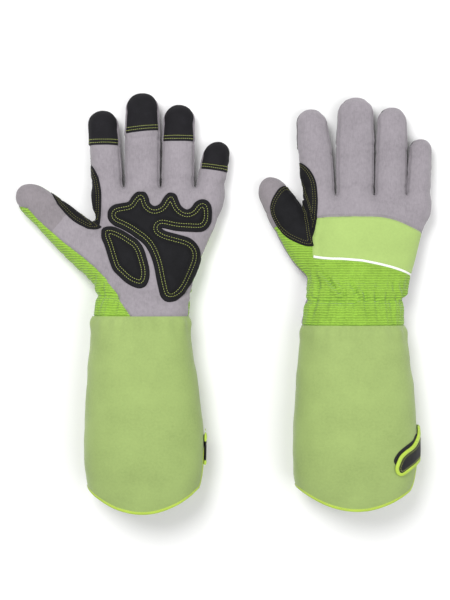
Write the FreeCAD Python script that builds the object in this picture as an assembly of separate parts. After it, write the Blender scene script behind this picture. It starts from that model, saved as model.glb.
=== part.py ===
"""A pair of long-cuff gardening gloves lying side by side on a table: the left
glove palm up, the right glove back up.  Millimetres, +Z up, fingers along +Y.
Origin: under the middle of the pair, on the table.

Each glove is a set of thin fabric shells: a forearm gauntlet, a hand made of a
palm panel and three back panels, four finger sleeves and a thumb sleeve, each
sleeve in two lengths, with black reinforcement patches and pads sewn outside,
an elastic inside the wrist, binding round the hem and slit, and a closure tab.
"""
import FreeCAD, Part
import math
import os

V = FreeCAD.Vector

# ---------------------------------------------------------------- dimensions
WALL = 1.6            # suede or knit plus lining
RING_N = 16           # points on a cross-section
SECTION_POWER = 2.35  # superellipse power of the sleeves
PATCH_T = 1.0         # fingertip and saddle patches
PAD_T = 2.8           # palm pads over the foam
FOAM_T = 1.8          # foam insert in a pad
PAD_GAP = 0.35        # between the pads and the palm panel
FOAM_GAP = 0.35       # between the foam and the palm panel
PIPING_W = 2.2
PIPING_T = 1.0
ELASTIC_W = 12.0
ELASTIC_T = 0.9
BIND_W = 4.0          # hem and slit binding, width on the face
BIND_T = 0.6          # how far binding stands proud of the fabric
SLIT_L = 58.0         # slit length up the cuff from the hem's end
SLIT_GAP = 6.0        # gap between the bound edges of the slit
TAB_CLEAR = 1.15      # tab above the gauntlet
TAB_T = 1.5
TAB_BIND_W = 2.8
TAB_ROOT = 9.0        # root of the tab beyond the middle of the slit
LOOP_T = 0.5

# The back seams and the pads are set out on the right hand's plan and moved to each hand.
BAND_TOP = [(60, 77.0), (86.9, 77.4), (119.2, 79.3), (152.5, 78.4), (166.7, 74.6), (186.7, 65.1), (205, 55.0)]
PIPING_LINE = [(60, 42.6), (84.6, 41.3), (114.5, 39.0), (143.0, 35.6), (162.0, 30.4), (175.3, 24.7), (200, 13.0)]
MAIN_PAD = [(-110.6, 80.3), (-109.4, 86.0), (-104.5, 90.5), (-97.0, 92.2), (-91.0, 93.4), (-88.1, 97.5),
            (-84.0, 102.0), (-79.1, 103.7), (-74.2, 102.0), (-71.3, 96.7), (-70.1, 92.2), (-66.0, 89.3),
            (-61.0, 91.4), (-57.8, 96.7), (-53.7, 101.2), (-49.6, 102.0), (-45.5, 100.0), (-43.1, 94.3),
            (-40.6, 89.3), (-35.7, 86.1), (-31.6, 87.7), (-28.3, 92.2), (-24.2, 95.1), (-19.3, 95.7),
            (-14.8, 93.4), (-12.0, 87.7), (-12.1, 77.0), (-14.4, 70.5), (-19.3, 65.6), (-26.7, 64.3),
            (-44.7, 65.2), (-54.5, 67.2), (-59.0, 67.9), (-54.5, 65.2), (-44.7, 62.5), (-33.2, 59.1),
            (-26.7, 54.2), (-23.0, 47.6), (-22.6, 39.5), (-25.0, 31.3), (-29.1, 21.5), (-33.2, 12.5),
            (-39.8, 3.5), (-46.3, -0.7), (-52.9, -1.1), (-58.2, 2.7), (-61.0, 9.2), (-63.5, 19.8),
            (-66.0, 32.1), (-69.2, 41.9), (-73.3, 49.7), (-78.2, 55.0), (-83.1, 58.6), (-89.7, 63.3),
            (-97.5, 67.6), (-104.0, 70.5), (-109.0, 75.0)]
THENAR_PAD = [(-116.3, 63.1), (-115.9, 67.2), (-112.6, 69.7), (-106.1, 70.1), (-99.6, 68.0), (-93.0, 64.6),
              (-86.5, 60.4), (-80.7, 56.2), (-75.8, 49.2), (-72.5, 39.7), (-70.1, 29.9), (-69.8, 22.6),
              (-71.3, 16.8), (-74.2, 12.7), (-79.1, 11.1), (-84.8, 12.7), (-92.2, 16.8), (-98.7, 22.6),
              (-104.4, 28.3), (-107.3, 34.8), (-110.2, 43.8), (-113.1, 52.5), (-115.6, 58.0)]
MAIN_FOAM = [(-103.8, 80.6), (-102.5, 83.4), (-99.8, 84.8), (-96.7, 85.5), (-90.4, 86.8), (-87.4, 87.9), (-85.2, 90.2),
             (-83.4, 92.8), (-81.3, 95.2), (-78.7, 96.5), (-77.3, 93.6), (-76.5, 90.5), (-75.0, 87.8), (-69.8, 83.9),
             (-66.9, 82.8), (-63.8, 83.1), (-57.9, 85.6), (-55.5, 87.7), (-53.9, 90.5), (-52.1, 93.1), (-50.2, 94.1),
             (-48.9, 91.2), (-46.0, 85.5), (-43.6, 83.4), (-38.2, 80.0), (-35.1, 79.5), (-29.1, 81.6), (-26.5, 83.5),
             (-24.6, 86.1), (-22.4, 88.3), (-19.6, 88.2), (-18.6, 85.3), (-18.7, 78.9), (-19.5, 75.8), (-21.1, 73.1),
             (-23.7, 71.5), (-26.9, 71.0), (-42.9, 71.7), (-58.6, 74.5), (-61.7, 73.9), (-64.2, 72.0), (-65.5, 69.1),
             (-65.3, 65.9), (-63.6, 63.2), (-61.0, 61.4), (-55.3, 58.6), (-36.8, 53.3), (-34.2, 51.6), (-31.7, 49.6),
             (-30.1, 46.8), (-29.3, 40.6), (-32.1, 31.4), (-38.5, 16.8), (-40.2, 14.1), (-44.0, 8.9), (-46.5, 7.0),
             (-49.4, 5.7), (-52.3, 6.6), (-53.8, 9.3), (-54.9, 12.3), (-59.7, 34.1), (-62.7, 43.3), (-64.0, 46.2),
             (-68.7, 54.5), (-73.1, 59.2), (-83.3, 66.9), (-91.5, 71.8), (-100.1, 76.0), (-102.6, 78.1)]
THENAR_FOAM = [(-109.7, 63.2), (-106.5, 63.3), (-100.5, 61.1), (-92.2, 56.3), (-87.0, 52.6), (-84.7, 50.4),
               (-81.3, 45.0), (-79.2, 39.0), (-76.8, 29.7), (-76.4, 23.3), (-77.2, 20.2), (-79.2, 18.0),
               (-82.3, 18.9), (-90.4, 24.0), (-97.4, 30.6), (-99.3, 33.1), (-104.7, 48.1), (-109.2, 60.1)]
PLAN_SHIFT_LEFT = (-197.6, 7.6)     # seams: right plan to left hand
PAD_SHIFT_RIGHT = (197.6, -7.6)     # pads: left plan to right hand

LEFT = dict(
    tag="left_", palm=1,
    hand=[(103.1, -62.2, 61.8, 13.7, 13.3), (86.0, -63.2, 58.9, 16.2, 15.6), (67.9, -65.3, 54.9, 18.5, 17.6),
          (43.2, -70.8, 49.4, 21.2, 19.6), (19.5, -75.3, 45.4, 23.3, 22.1), (0.5, -76.7, 43.5, 25.6, 24.6),
          (-14.7, -78.6, 45.8, 28.0, 27.4)],
    cuff=[(-14.7, -78.6, 46.0, 28.0, 27.6), (-42.3, -78.4, 48.6, 31.6, 31.0), (-75.5, -76.7, 52.5, 34.6, 34.0),
          (-113.5, -75.8, 55.8, 36.2, 35.6), (-142.0, -75.5, 56.5, 36.3, 35.7), (-170.5, -75.5, 54.1, 35.0, 34.0),
          (-200.0, -76.3, 45.6, 32.0, 30.0)],
    hem=(-76.0, -197.0, 0.0078),
    fingers=dict(
        index=dict(x0=-110.9, x1=-116.2, y1=180.4, a=(13.5, 14.7, 13.9), b=(13.3, 12.8, 11.8), zc=(13.7, 13.1, 12.4), split=147.1, patch=147.7),
        middle=dict(x0=-78.6, x1=-78.2, y1=197.1, a=(16.5, 16.6, 15.2), b=(13.3, 13.0, 12.2), zc=(13.7, 13.3, 12.8), split=155.1, patch=157.5),
        ring=dict(x0=-44.6, x1=-43.4, y1=185.9, a=(15.0, 14.9, 14.0), b=(13.3, 12.8, 11.8), zc=(13.7, 13.1, 12.4), split=150.1, patch=150.7),
        little=dict(x0=-14.4, x1=-6.4, y1=150.8, a=(13.5, 13.2, 11.8), b=(12.6, 12.0, 11.0), zc=(13.7, 12.5, 11.6), split=128.5, patch=129.1)),
    thumb=dict(p0=(-117.0, 38.0), ang=50.0, tip=104.5, split=70.3,
               st=[(-26.0, 0.0, 18.0, 23.0, 13.5), (0.0, 1.0, 24.0, 19.4, 17.0), (21.9, 0.9, 21.2, 18.3, 16.2), (52.0, 1.7, 18.6, 16.6, 14.8),
                   (80.0, 1.9, 15.8, 15.2, 13.4)]),
    slit_z=36.0,
)
RIGHT = dict(
    tag="right_", palm=-1,
    hand=[(95.5, 135.4, 59.8, 16.8, 13.3), (81.2, 135.1, 57.7, 19.0, 15.6), (65.1, 133.9, 53.7, 21.0, 17.6),
          (42.3, 131.8, 49.6, 23.0, 19.6), (19.5, 126.3, 48.4, 25.3, 22.1), (0.5, 122.8, 45.4, 27.2, 24.6),
          (-23.3, 121.1, 48.0, 28.8, 27.8)],
    cuff=[(-23.3, 121.1, 48.4, 28.8, 28.0), (-47.0, 121.6, 51.8, 31.8, 31.0), (-80.3, 122.5, 55.1, 34.6, 34.0),
          (-113.5, 122.8, 57.7, 36.2, 35.6), (-142.0, 122.8, 58.7, 36.3, 35.7), (-170.5, 121.6, 55.8, 35.0, 34.0),
          (-200.0, 122.1, 47.0, 32.0, 30.0)],
    hem=(122.2, -194.5, 0.0066),
    fingers=dict(
        index=dict(x0=90.4, x1=82.4, y1=182.0, a=(14.2, 16.2, 14.3), b=(13.3, 12.8, 11.8), zc=(16.8, 15.6, 14.4), split=141.5, patch=144.0),
        middle=dict(x0=124.1, x1=124.7, y1=193.4, a=(17.3, 17.6, 16.2), b=(13.3, 13.0, 12.2), zc=(16.8, 15.8, 14.8), split=147.5, patch=152.0),
        ring=dict(x0=157.7, x1=160.2, y1=183.5, a=(14.2, 14.3, 13.2), b=(13.3, 12.8, 11.8), zc=(16.8, 15.6, 14.4), split=142.5, patch=145.0),
        little=dict(x0=184.5, x1=187.7, y1=153.5, a=(10.8, 10.4, 9.6), b=(12.6, 12.0, 10.8), zc=(16.5, 15.0, 13.4), split=123.0, patch=124.0)),
    thumb=dict(p0=(85.0, 36.1), ang=29.0, tip=92.5, split=64.6,
               st=[(-30.0, 2.0, 12.0, 26.0, 11.5), (0.0, 0.0, 17.6, 19.6, 15.0), (27.0, -0.6, 17.4, 17.6, 14.6), (54.0, -1.4, 16.4, 16.2, 14.0),
                   (73.0, -1.6, 13.6, 15.2, 12.8)]),
    slit_z=36.0,
)


# ---------------------------------------------------------------- helpers
def ring(c, right, a, b, power=SECTION_POWER, up=V(0, 0, 1)):
    pts = []
    for i in range(RING_N):
        t = 2 * math.pi * (i + 0.5) / RING_N
        ct, st = math.cos(t), math.sin(t)
        x = a * math.copysign(abs(ct) ** (2 / power), ct)
        z = b * math.copysign(abs(st) ** (2 / power), st)
        pts.append(c + right * x + up * z)
    curve = Part.BSplineCurve()
    curve.interpolate(Points=pts, PeriodicFlag=True)
    return Part.Wire([curve.toShape()])


def loft(rings):
    s = Part.makeLoft(rings, True, False)
    if s.Volume < 0:
        s.reverse()
    return s


def interp(stations, y, k):
    """Value k of the station table at y, linear; the tables run along falling or rising y."""
    rows = sorted(stations)
    if y <= rows[0][0]:
        return rows[0][k]
    for p, q in zip(rows, rows[1:]):
        if y <= q[0]:
            t = (y - p[0]) / (q[0] - p[0])
            return p[k] + (q[k] - p[k]) * t
    return rows[-1][k]


def body_loft(stations, off=0.0, extend=0.0, power=2.2):
    rows = sorted(stations)
    rows = [list(r) for r in rows]
    if extend:
        first, last = list(rows[0]), list(rows[-1])
        first[0] -= extend
        last[0] += extend
        rows = [first] + rows + [last]
    X = V(1, 0, 0)
    return loft([ring(V(r[1], r[0], r[3]), X, r[2] + off, r[4] + off, power) for r in rows])


def resample(stations, pitch):
    """Stations at an even pitch: linear between the given ones, with rounded corners."""
    lo, hi = stations[0][0], stations[-1][0]
    n = max(2, int(round((hi - lo) / pitch)))
    rows = []
    for i in range(n + 1):
        s = lo + (hi - lo) * i / n
        w = min(pitch, s - lo, hi - s)
        low = [interp(stations, s - w, k) for k in range(1, 5)]
        mid = [interp(stations, s, k) for k in range(1, 5)]
        top = [interp(stations, s + w, k) for k in range(1, 5)]
        rows.append((s,) + tuple((a + 2 * b + c) / 4 for a, b, c in zip(low, mid, top)))
    return rows


def sleeve(p0, u, stations, tip, off=0.0, back=0.0):
    """A sleeve along u from p0, closed with a dome at tip. stations: (s, sideways, a, zc, b)."""
    right = V(u.y, -u.x, 0)
    rings = []
    rows = resample(stations, 6.0)
    if back:
        first = rows[0]
        rows = [(first[0] - back,) + tuple(first[1:])] + rows
    for s, c, a, zc, b in rows:
        rings.append(ring(p0 + u * s + right * c + V(0, 0, zc), right, a + off, b + off))
    s, c, a, zc, b = rows[-1]
    reach = tip + off - s
    for deg in (24, 44, 60, 73, 83):
        k = math.cos(math.radians(deg))
        rings.append(ring(p0 + u * (s + reach * math.sin(math.radians(deg))) + right * c + V(0, 0, zc), right, (a + off) * k, (b + off) * k))
    return loft(rings)


def finger_stations(f, y0):
    n = f["y1"] - y0
    slope = (f["x1"] - f["x0"]) / n
    s2 = n - f["a"][2] * 0.95
    s1 = s2 * 0.62
    return [(0.0, 0.0, f["a"][0], f["zc"][0], f["b"][0]), (s1, slope * s1, f["a"][1], f["zc"][1], f["b"][1]),
            (s2, slope * s2, f["a"][2], f["zc"][2], f["b"][2])], n


def prism(points, z0=-60.0, z1=160.0):
    pts = [V(x, y, z0) for x, y in points]
    return Part.Face(Part.makePolygon(pts + [pts[0]])).extrude(V(0, 0, z1 - z0))


def spline_prism(points, z0=-60.0, z1=160.0):
    curve = Part.BSplineCurve()
    curve.interpolate(Points=[V(x, y, z0) for x, y in points], PeriodicFlag=True)
    return Part.Face(Part.Wire([curve.toShape()])).extrude(V(0, 0, z1 - z0))


def prism_yz(points, x0=-400.0, x1=400.0):
    pts = [V(x0, y, z) for y, z in points]
    return Part.Face(Part.makePolygon(pts + [pts[0]])).extrude(V(x1 - x0, 0, 0))


def box(x0, x1, y0, y1, z0, z1):
    return Part.makeBox(x1 - x0, y1 - y0, z1 - z0, V(x0, y0, z0))


def band_prism(line_low, line_high):
    """The plan between two lines that run along +X."""
    return prism(list(line_low) + list(reversed(line_high)))


def shift(points, d):
    return [(x + d[0], y + d[1]) for x, y in points]


def clean(shape, least=1.0):
    """The solids of a boolean's result, without crumbs."""
    solids = [s for s in shape.Solids if s.Volume > least]
    if not solids:
        raise ValueError("empty result")
    return solids[0] if len(solids) == 1 else Part.makeCompound(solids)


def save(name, shape, least=1.0):
    shape = clean(shape, least)
    ok = shape.isValid()
    bb = shape.optimalBoundingBox()
    print(f"{name:32s} solids {len(shape.Solids)} vol {sum(s.Volume for s in shape.Solids):9.1f} valid {ok} "
          f"x {bb.XMin:7.1f} {bb.XMax:7.1f} y {bb.YMin:7.1f} {bb.YMax:7.1f} z {bb.ZMin:5.1f} {bb.ZMax:5.1f}", flush=True)
    shape.exportStep("parts/" + name + ".step")
    return shape


# ---------------------------------------------------------------- one glove
def glove(P):
    tag, palm = P["tag"], P["palm"]
    hand_rows = sorted(P["hand"])
    y_seam, y_knuckle = hand_rows[0][0], hand_rows[-1][0]

    # half-spaces on the palm side and on the back side of the side seams
    mid = [(r[0], r[3]) for r in hand_rows]
    mid = [(mid[0][0] - 60, mid[0][1])] + mid + [(mid[-1][0] + 160, mid[-1][1])]
    up = prism_yz(mid + [(mid[-1][0], 160), (mid[0][0], 160)])
    down = prism_yz(mid + [(mid[-1][0], -60), (mid[0][0], -60)])
    palm_half, back_half = (up, down) if palm > 0 else (down, up)

    outer = body_loft(P["hand"])
    inner = body_loft(P["hand"], -WALL, 4.0)
    t = P["thumb"]
    ang = math.radians(t["ang"])
    u = V(-math.sin(ang), math.cos(ang), 0)
    p0 = V(t["p0"][0], t["p0"][1], 0)
    thumb_out = sleeve(p0, u, t["st"], t["tip"])
    thumb_in = sleeve(p0, u, t["st"], t["tip"], -WALL)
    shell = outer.cut(inner).cut(thumb_in)

    # back panels
    d = PLAN_SHIFT_LEFT if palm > 0 else (0, 0)
    top, pipe = shift(BAND_TOP, d), shift(PIPING_LINE, d)
    far = [(top[0][0] - 60, 400), (top[-1][0] + 60, 400)]
    low = [(top[0][0] - 60, -400), (top[-1][0] + 60, -400)]
    wide = lambda line: [(line[0][0] - 60, line[0][1])] + line + [(line[-1][0] + 60, line[-1][1])]
    back = shell.common(back_half)
    save(tag + "palm_panel", shell.common(palm_half))
    save(tag + "back_panel", back.common(band_prism(wide(top), far)))
    save(tag + "knuckle_band", back.common(band_prism(wide(pipe), wide(top))))
    save(tag + "wrist_panel", back.common(band_prism(low, wide(pipe))))

    # white piping over the seam of band and wrist panel
    half = PIPING_W / 2
    line = band_prism([(x, y - half) for x, y in wide(pipe)], [(x, y + half) for x, y in wide(pipe)])
    proud = body_loft(P["hand"], PIPING_T).cut(outer).common(back_half).cut(thumb_out)
    save(tag + "white_piping", proud.common(line))

    # elastic inside the wrist, on the back
    y_el = y_seam + 17.0
    el = body_loft(P["hand"], -WALL - 0.05, 4.0).cut(body_loft(P["hand"], -WALL - 0.05 - ELASTIC_T, 8.0))
    save(tag + "wrist_elastic", el.common(back_half).common(box(-400, 400, y_el, y_el + ELASTIC_W, -60, 160)).cut(thumb_out))

    # palm pads: covers over foam
    past = box(-400, 400, y_knuckle - 0.1, 400, -60, 160)
    d = (0, 0) if palm > 0 else PAD_SHIFT_RIGHT
    cover = body_loft(P["hand"], PAD_T, 6.0).cut(body_loft(P["hand"], PAD_GAP, 6.0)).common(palm_half).cut(thumb_out).cut(outer).cut(past)
    under = body_loft(P["hand"], FOAM_T, 6.0).common(palm_half)
    filling = under.cut(body_loft(P["hand"], FOAM_GAP, 6.0)).cut(thumb_out).cut(outer).cut(past)
    foams = []
    for name, outline, middle in (("palm_pad", MAIN_PAD, MAIN_FOAM), ("thenar_pad", THENAR_PAD, THENAR_FOAM)):
        pocket = prism(shift(middle, d))
        foams += clean(filling.common(pocket), 20.0).Solids
        save(tag + name, cover.common(spline_prism(shift(outline, d))).cut(under.common(pocket)), 20.0)
    save(tag + "pad_foam", Part.makeCompound(foams))

    # fingers
    for name, f in P["fingers"].items():
        st, n = finger_stations(f, y_knuckle)
        base = V(f["x0"], y_knuckle, 0)
        Y = V(0, 1, 0)
        tube = sleeve(base, Y, st, n).cut(sleeve(base, Y, st, n, -WALL, back=4.0))
        split = f["split"]
        save(tag + name + "_lower_sleeve", tube.common(box(-400, 400, -400, split, -60, 160)))
        save(tag + name + "_upper_sleeve", tube.common(box(-400, 400, split, 400, -60, 160)))
        f_mid = sorted([(y_knuckle + s[0], s[3]) for s in st])
        f_mid = [(f_mid[0][0] - 20, f_mid[0][1])] + f_mid + [(f_mid[-1][0] + 60, f_mid[-1][1])]
        zf = 160 if palm > 0 else -60
        side = prism_yz(f_mid + [(f_mid[-1][0], zf), (f_mid[0][0], zf)])
        cap = sleeve(base, Y, st, n, PATCH_T).cut(sleeve(base, Y, st, n))
        save(tag + name + "_tip_patch", cap.common(side).common(box(-400, 400, f["patch"], 400, -60, 160)))

    # index side patch: on the thumb side of the index finger
    f = P["fingers"]["index"]
    st, n = finger_stations(f, y_knuckle)
    base = V(f["x0"], y_knuckle, 0)
    zc = f["zc"][0]
    lens_y = (y_knuckle + 1.0, f["split"] - 12.0)
    mid_y, half_y = (lens_y[0] + lens_y[1]) / 2, (lens_y[1] - lens_y[0]) / 2
    ell = Part.Ellipse(V(f["x0"] - 40, mid_y, zc - palm * 3.0), half_y, 9.0)
    ell.Axis = V(1, 0, 0)
    ell.XAxis = V(0, 1, 0)
    lens = Part.Face(Part.Wire([ell.toShape()])).extrude(V(40, 0, 0))
    skin = sleeve(base, V(0, 1, 0), st, n, PATCH_T).cut(sleeve(base, V(0, 1, 0), st, n))
    save(tag + "index_side_patch", skin.common(lens))

    # thumb
    tube = thumb_out.cut(thumb_in).cut(outer)
    right = V(u.y, -u.x, 0)
    cutter = Part.makeBox(300, 300, 300, V(-150, 0, -100))
    cutter.rotate(V(0, 0, 0), V(0, 0, 1), t["ang"])
    cutter.translate(p0 + u * t["split"])
    save(tag + "thumb_lower_sleeve", tube.cut(cutter))
    save(tag + "thumb_upper_sleeve", tube.common(cutter))
    # oval patch on the index side and back of the thumb's lower sleeve
    oval_c = p0 + u * (t["split"] * 0.5 + 16.0)
    skin = sleeve(p0, u, t["st"], t["tip"], PATCH_T).cut(thumb_out).cut(outer)
    # looks along the direction half way between the index side and the back
    view = (right * 0.8 - V(0, 0, 1) * palm * 0.6).normalize()
    ell = Part.Ellipse(V(0, 0, 0), t["split"] * 0.5 - 17.0, 10.5)
    ell.Axis = view
    ell.XAxis = u
    ell.Center = oval_c + V(0, 0, interp([(r[0],) + tuple(r[1:]) for r in t["st"]], t["split"] * 0.5, 3))
    oval = Part.Face(Part.Wire([ell.toShape()])).extrude(view * 60)
    save(tag + "thumb_patch", skin.common(oval))

    # gauntlet, binding, tab
    hx, hy, hk = P["hem"]
    arc = lambda lift: [(hx + x, hy + hk * x * x + lift) for x in (-70, -60, -48, -36, -24, -12, 0, 12, 24, 36, 48, 60, 70)]
    above = lambda lift: prism(arc(lift) + [(hx + 70, 60), (hx - 70, 60)])
    c_out, c_in = body_loft(P["cuff"]), body_loft(P["cuff"], -WALL, 6.0)
    zs = P["slit_z"]
    slit_top = hy + SLIT_L
    wide_cut = box(hx + 20, hx + 120, -260, slit_top + BIND_W, zs - SLIT_GAP / 2 - BIND_W, zs + SLIT_GAP / 2 + BIND_W)
    open_cut = box(hx + 20, hx + 120, -260, slit_top, zs - SLIT_GAP / 2, zs + SLIT_GAP / 2)
    save(tag + "gauntlet", c_out.cut(c_in).common(above(BIND_W)).cut(wide_cut))
    thick = body_loft(P["cuff"], BIND_T).cut(body_loft(P["cuff"], -WALL - BIND_T, 6.0))
    binding = thick.common(above(0.0)).cut(above(BIND_W).cut(wide_cut)).cut(open_cut)
    save(tag + "cuff_binding", binding)

    # closure tab: sewn on beyond the slit at the cuff's little-finger edge, across the slit and over the back
    edge_x = interp(P["cuff"], -145.0, 1) + interp(P["cuff"], -145.0, 2)
    tx, ty = edge_x, hy + 52.0
    length, width, slope = 24.0, 14.0, math.radians(42.0)
    du = (-math.cos(slope), -math.sin(slope))
    dn = (math.sin(slope), -math.cos(slope))

    def capsule(grow, dx=0.0, dy=0.0):
        pts = []
        r = width / 2 + grow
        ex, ey = tx + dx + du[0] * length, ty + dy + du[1] * length
        a0 = math.atan2(dn[1], dn[0])
        for i in range(9):
            a = a0 - math.pi * i / 8
            pts.append((ex + r * math.cos(a), ey + r * math.sin(a)))
        far_l, far_r = 10.0, 10.0
        pts.append((tx + dx - dn[0] * r - du[0] * far_l, ty + dy - dn[1] * r - du[1] * far_l))
        pts.append((tx + dx + dn[0] * r - du[0] * far_r, ty + dy + dn[1] * r - du[1] * far_r))
        return pts

    half_z = box(-400, 400, -400, 400, -60, zs + TAB_ROOT) if palm > 0 else box(-400, 400, -400, 400, zs - TAB_ROOT, 160)
    over = lambda a, b: body_loft(P["cuff"], b).cut(body_loft(P["cuff"], a, 8.0)).common(half_z)
    save(tag + "closure_tab", over(TAB_CLEAR, TAB_CLEAR + TAB_T).common(prism(capsule(-TAB_BIND_W))))
    save(tag + "tab_binding", over(TAB_CLEAR - 0.2, TAB_CLEAR + TAB_T + 0.3).common(prism(capsule(0.0))).cut(prism(capsule(-TAB_BIND_W))))
    patch = body_loft(P["cuff"], LOOP_T).cut(c_out).common(half_z).common(prism(capsule(-0.6, -1.2, 2.4))).cut(wide_cut)
    save(tag + "loop_patch", patch, 3.0)


os.makedirs("parts", exist_ok=True)
glove(LEFT)
glove(RIGHT)
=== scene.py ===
import math

import bpy
import numpy as np
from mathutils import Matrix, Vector, noise
from mathutils.bvhtree import BVHTree
from mathutils.kdtree import KDTree


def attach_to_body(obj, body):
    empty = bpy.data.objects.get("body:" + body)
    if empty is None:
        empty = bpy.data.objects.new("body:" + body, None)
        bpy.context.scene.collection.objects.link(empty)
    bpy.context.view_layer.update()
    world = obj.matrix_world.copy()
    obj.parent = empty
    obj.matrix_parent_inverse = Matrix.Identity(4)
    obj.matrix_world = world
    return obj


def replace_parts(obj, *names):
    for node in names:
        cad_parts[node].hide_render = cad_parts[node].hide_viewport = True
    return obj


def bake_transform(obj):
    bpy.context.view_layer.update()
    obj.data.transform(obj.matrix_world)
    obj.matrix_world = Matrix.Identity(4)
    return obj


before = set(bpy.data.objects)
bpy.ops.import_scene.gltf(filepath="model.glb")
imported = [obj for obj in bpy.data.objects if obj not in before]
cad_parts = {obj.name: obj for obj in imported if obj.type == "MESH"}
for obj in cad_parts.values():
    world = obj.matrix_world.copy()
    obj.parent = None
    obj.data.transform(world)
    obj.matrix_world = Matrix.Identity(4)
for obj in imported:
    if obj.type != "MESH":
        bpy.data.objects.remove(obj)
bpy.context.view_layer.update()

STEP = 1.0          # mesh pitch of the hands, mm
COAT = 1.3                             # cloth thickness, mm
MM = 0.001

# ------------------------------------------------------------------ the two gloves, in mm
BAND_TOP = [(60, 77.0), (86.9, 77.4), (98.1, 78.9), (119.2, 79.3), (143, 79.2), (156, 77.4), (166.7, 74.0), (176, 69.6), (184, 66.0), (205, 56.0)]
PIPING_LINE = [(60, 43.0), (84.6, 41.5), (89.5, 40.0), (107.6, 39.0), (125.9, 38.1), (144, 34.5), (157.6, 31.3), (166.7, 28.6), (175.4, 24.5), (200, 13.0)]
MAIN_PAD = [(-110.6, 80.3), (-109.4, 86.0), (-104.5, 90.5), (-97.0, 92.2), (-91.0, 93.4), (-88.1, 97.5),
            (-84.0, 102.0), (-79.1, 103.7), (-74.2, 102.0), (-71.3, 96.7), (-70.1, 92.2), (-66.0, 89.3),
            (-61.0, 91.4), (-57.8, 96.7), (-53.7, 101.2), (-49.6, 102.0), (-45.5, 100.0), (-43.1, 94.3),
            (-40.6, 89.3), (-35.7, 86.1), (-31.6, 87.7), (-28.3, 92.2), (-24.2, 95.1), (-19.3, 95.7),
            (-14.8, 93.4), (-12.0, 87.7), (-12.1, 77.0), (-14.4, 70.5), (-19.3, 65.6), (-26.7, 64.3),
            (-44.7, 65.2), (-54.5, 67.2), (-59.0, 67.9), (-54.5, 65.2), (-44.7, 62.5), (-33.2, 59.1),
            (-26.7, 54.2), (-23.0, 47.6), (-22.6, 39.5), (-25.0, 31.3), (-29.1, 21.5), (-33.2, 12.5),
            (-39.8, 3.5), (-46.3, -0.7), (-52.9, -1.1), (-58.2, 2.7), (-61.0, 9.2), (-63.5, 19.8),
            (-66.0, 32.1), (-69.2, 41.9), (-73.3, 49.7), (-78.2, 55.0), (-83.1, 58.6), (-89.7, 63.3),
            (-97.5, 67.6), (-104.0, 70.5), (-109.0, 75.0)]
THENAR_PAD = [(-116.3, 63.1), (-115.9, 67.2), (-112.6, 69.7), (-106.1, 70.1), (-99.6, 68.0), (-93.0, 64.6),
              (-86.5, 60.4), (-80.7, 56.2), (-75.8, 49.2), (-72.5, 39.7), (-70.1, 29.9), (-69.8, 22.6),
              (-71.3, 16.8), (-74.2, 12.7), (-79.1, 11.1), (-84.8, 12.7), (-92.2, 16.8), (-98.7, 22.6),
              (-104.4, 28.3), (-107.3, 34.8), (-110.2, 43.8), (-113.1, 52.5), (-115.6, 58.0)]
# index side patch: its edge on the back (right glove's plan) and on the palm (left glove's plan), (y, x)
SIDE_BACK = [(40.0, 70.0), (50.0, 78.0), (56.5, 82.5), (73.2, 86.9), (94.5, 88.3), (112.6, 86.9), (124.6, 80.9), (132.5, 71.0), (140.0, 55.0)]
SIDE_PALM = [(56.0, -121.0), (69.4, -118.4), (90.7, -116.4), (103.5, -116.2), (120.0, -120.2), (127.8, -125.4), (134.0, -131.0), (140.0, -140.0)]
SHIFT = (-197.6, 7.6)
# folds of the lime cloth above the elastic, right glove's plan: x0, y0, x1, y1, depth
FOLDS = [(85.7, 31.8, 106.7, 7.6, 1.0), (83.5, 33.3, 88.8, 11.8, 0.8), (93.2, 29.0, 101.0, 11.9, 0.5), (117.1, 18.1, 124.5, 2.0, 1.0), (127.6, 10.5, 132.0, 2.0, 0.8),
         (138.8, 9.6, 141.7, 1.4, 0.8), (149.0, 12.0, 151.0, 2.0, 0.6), (158.2, 15.8, 160.5, 2.0, 0.9), (164.2, 13.8, 168.6, 2.0, 0.8), (108.0, 14.0, 113.0, 3.0, 0.7), (79.0, 8.0, 84.0, 1.0, 0.6)]

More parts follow.
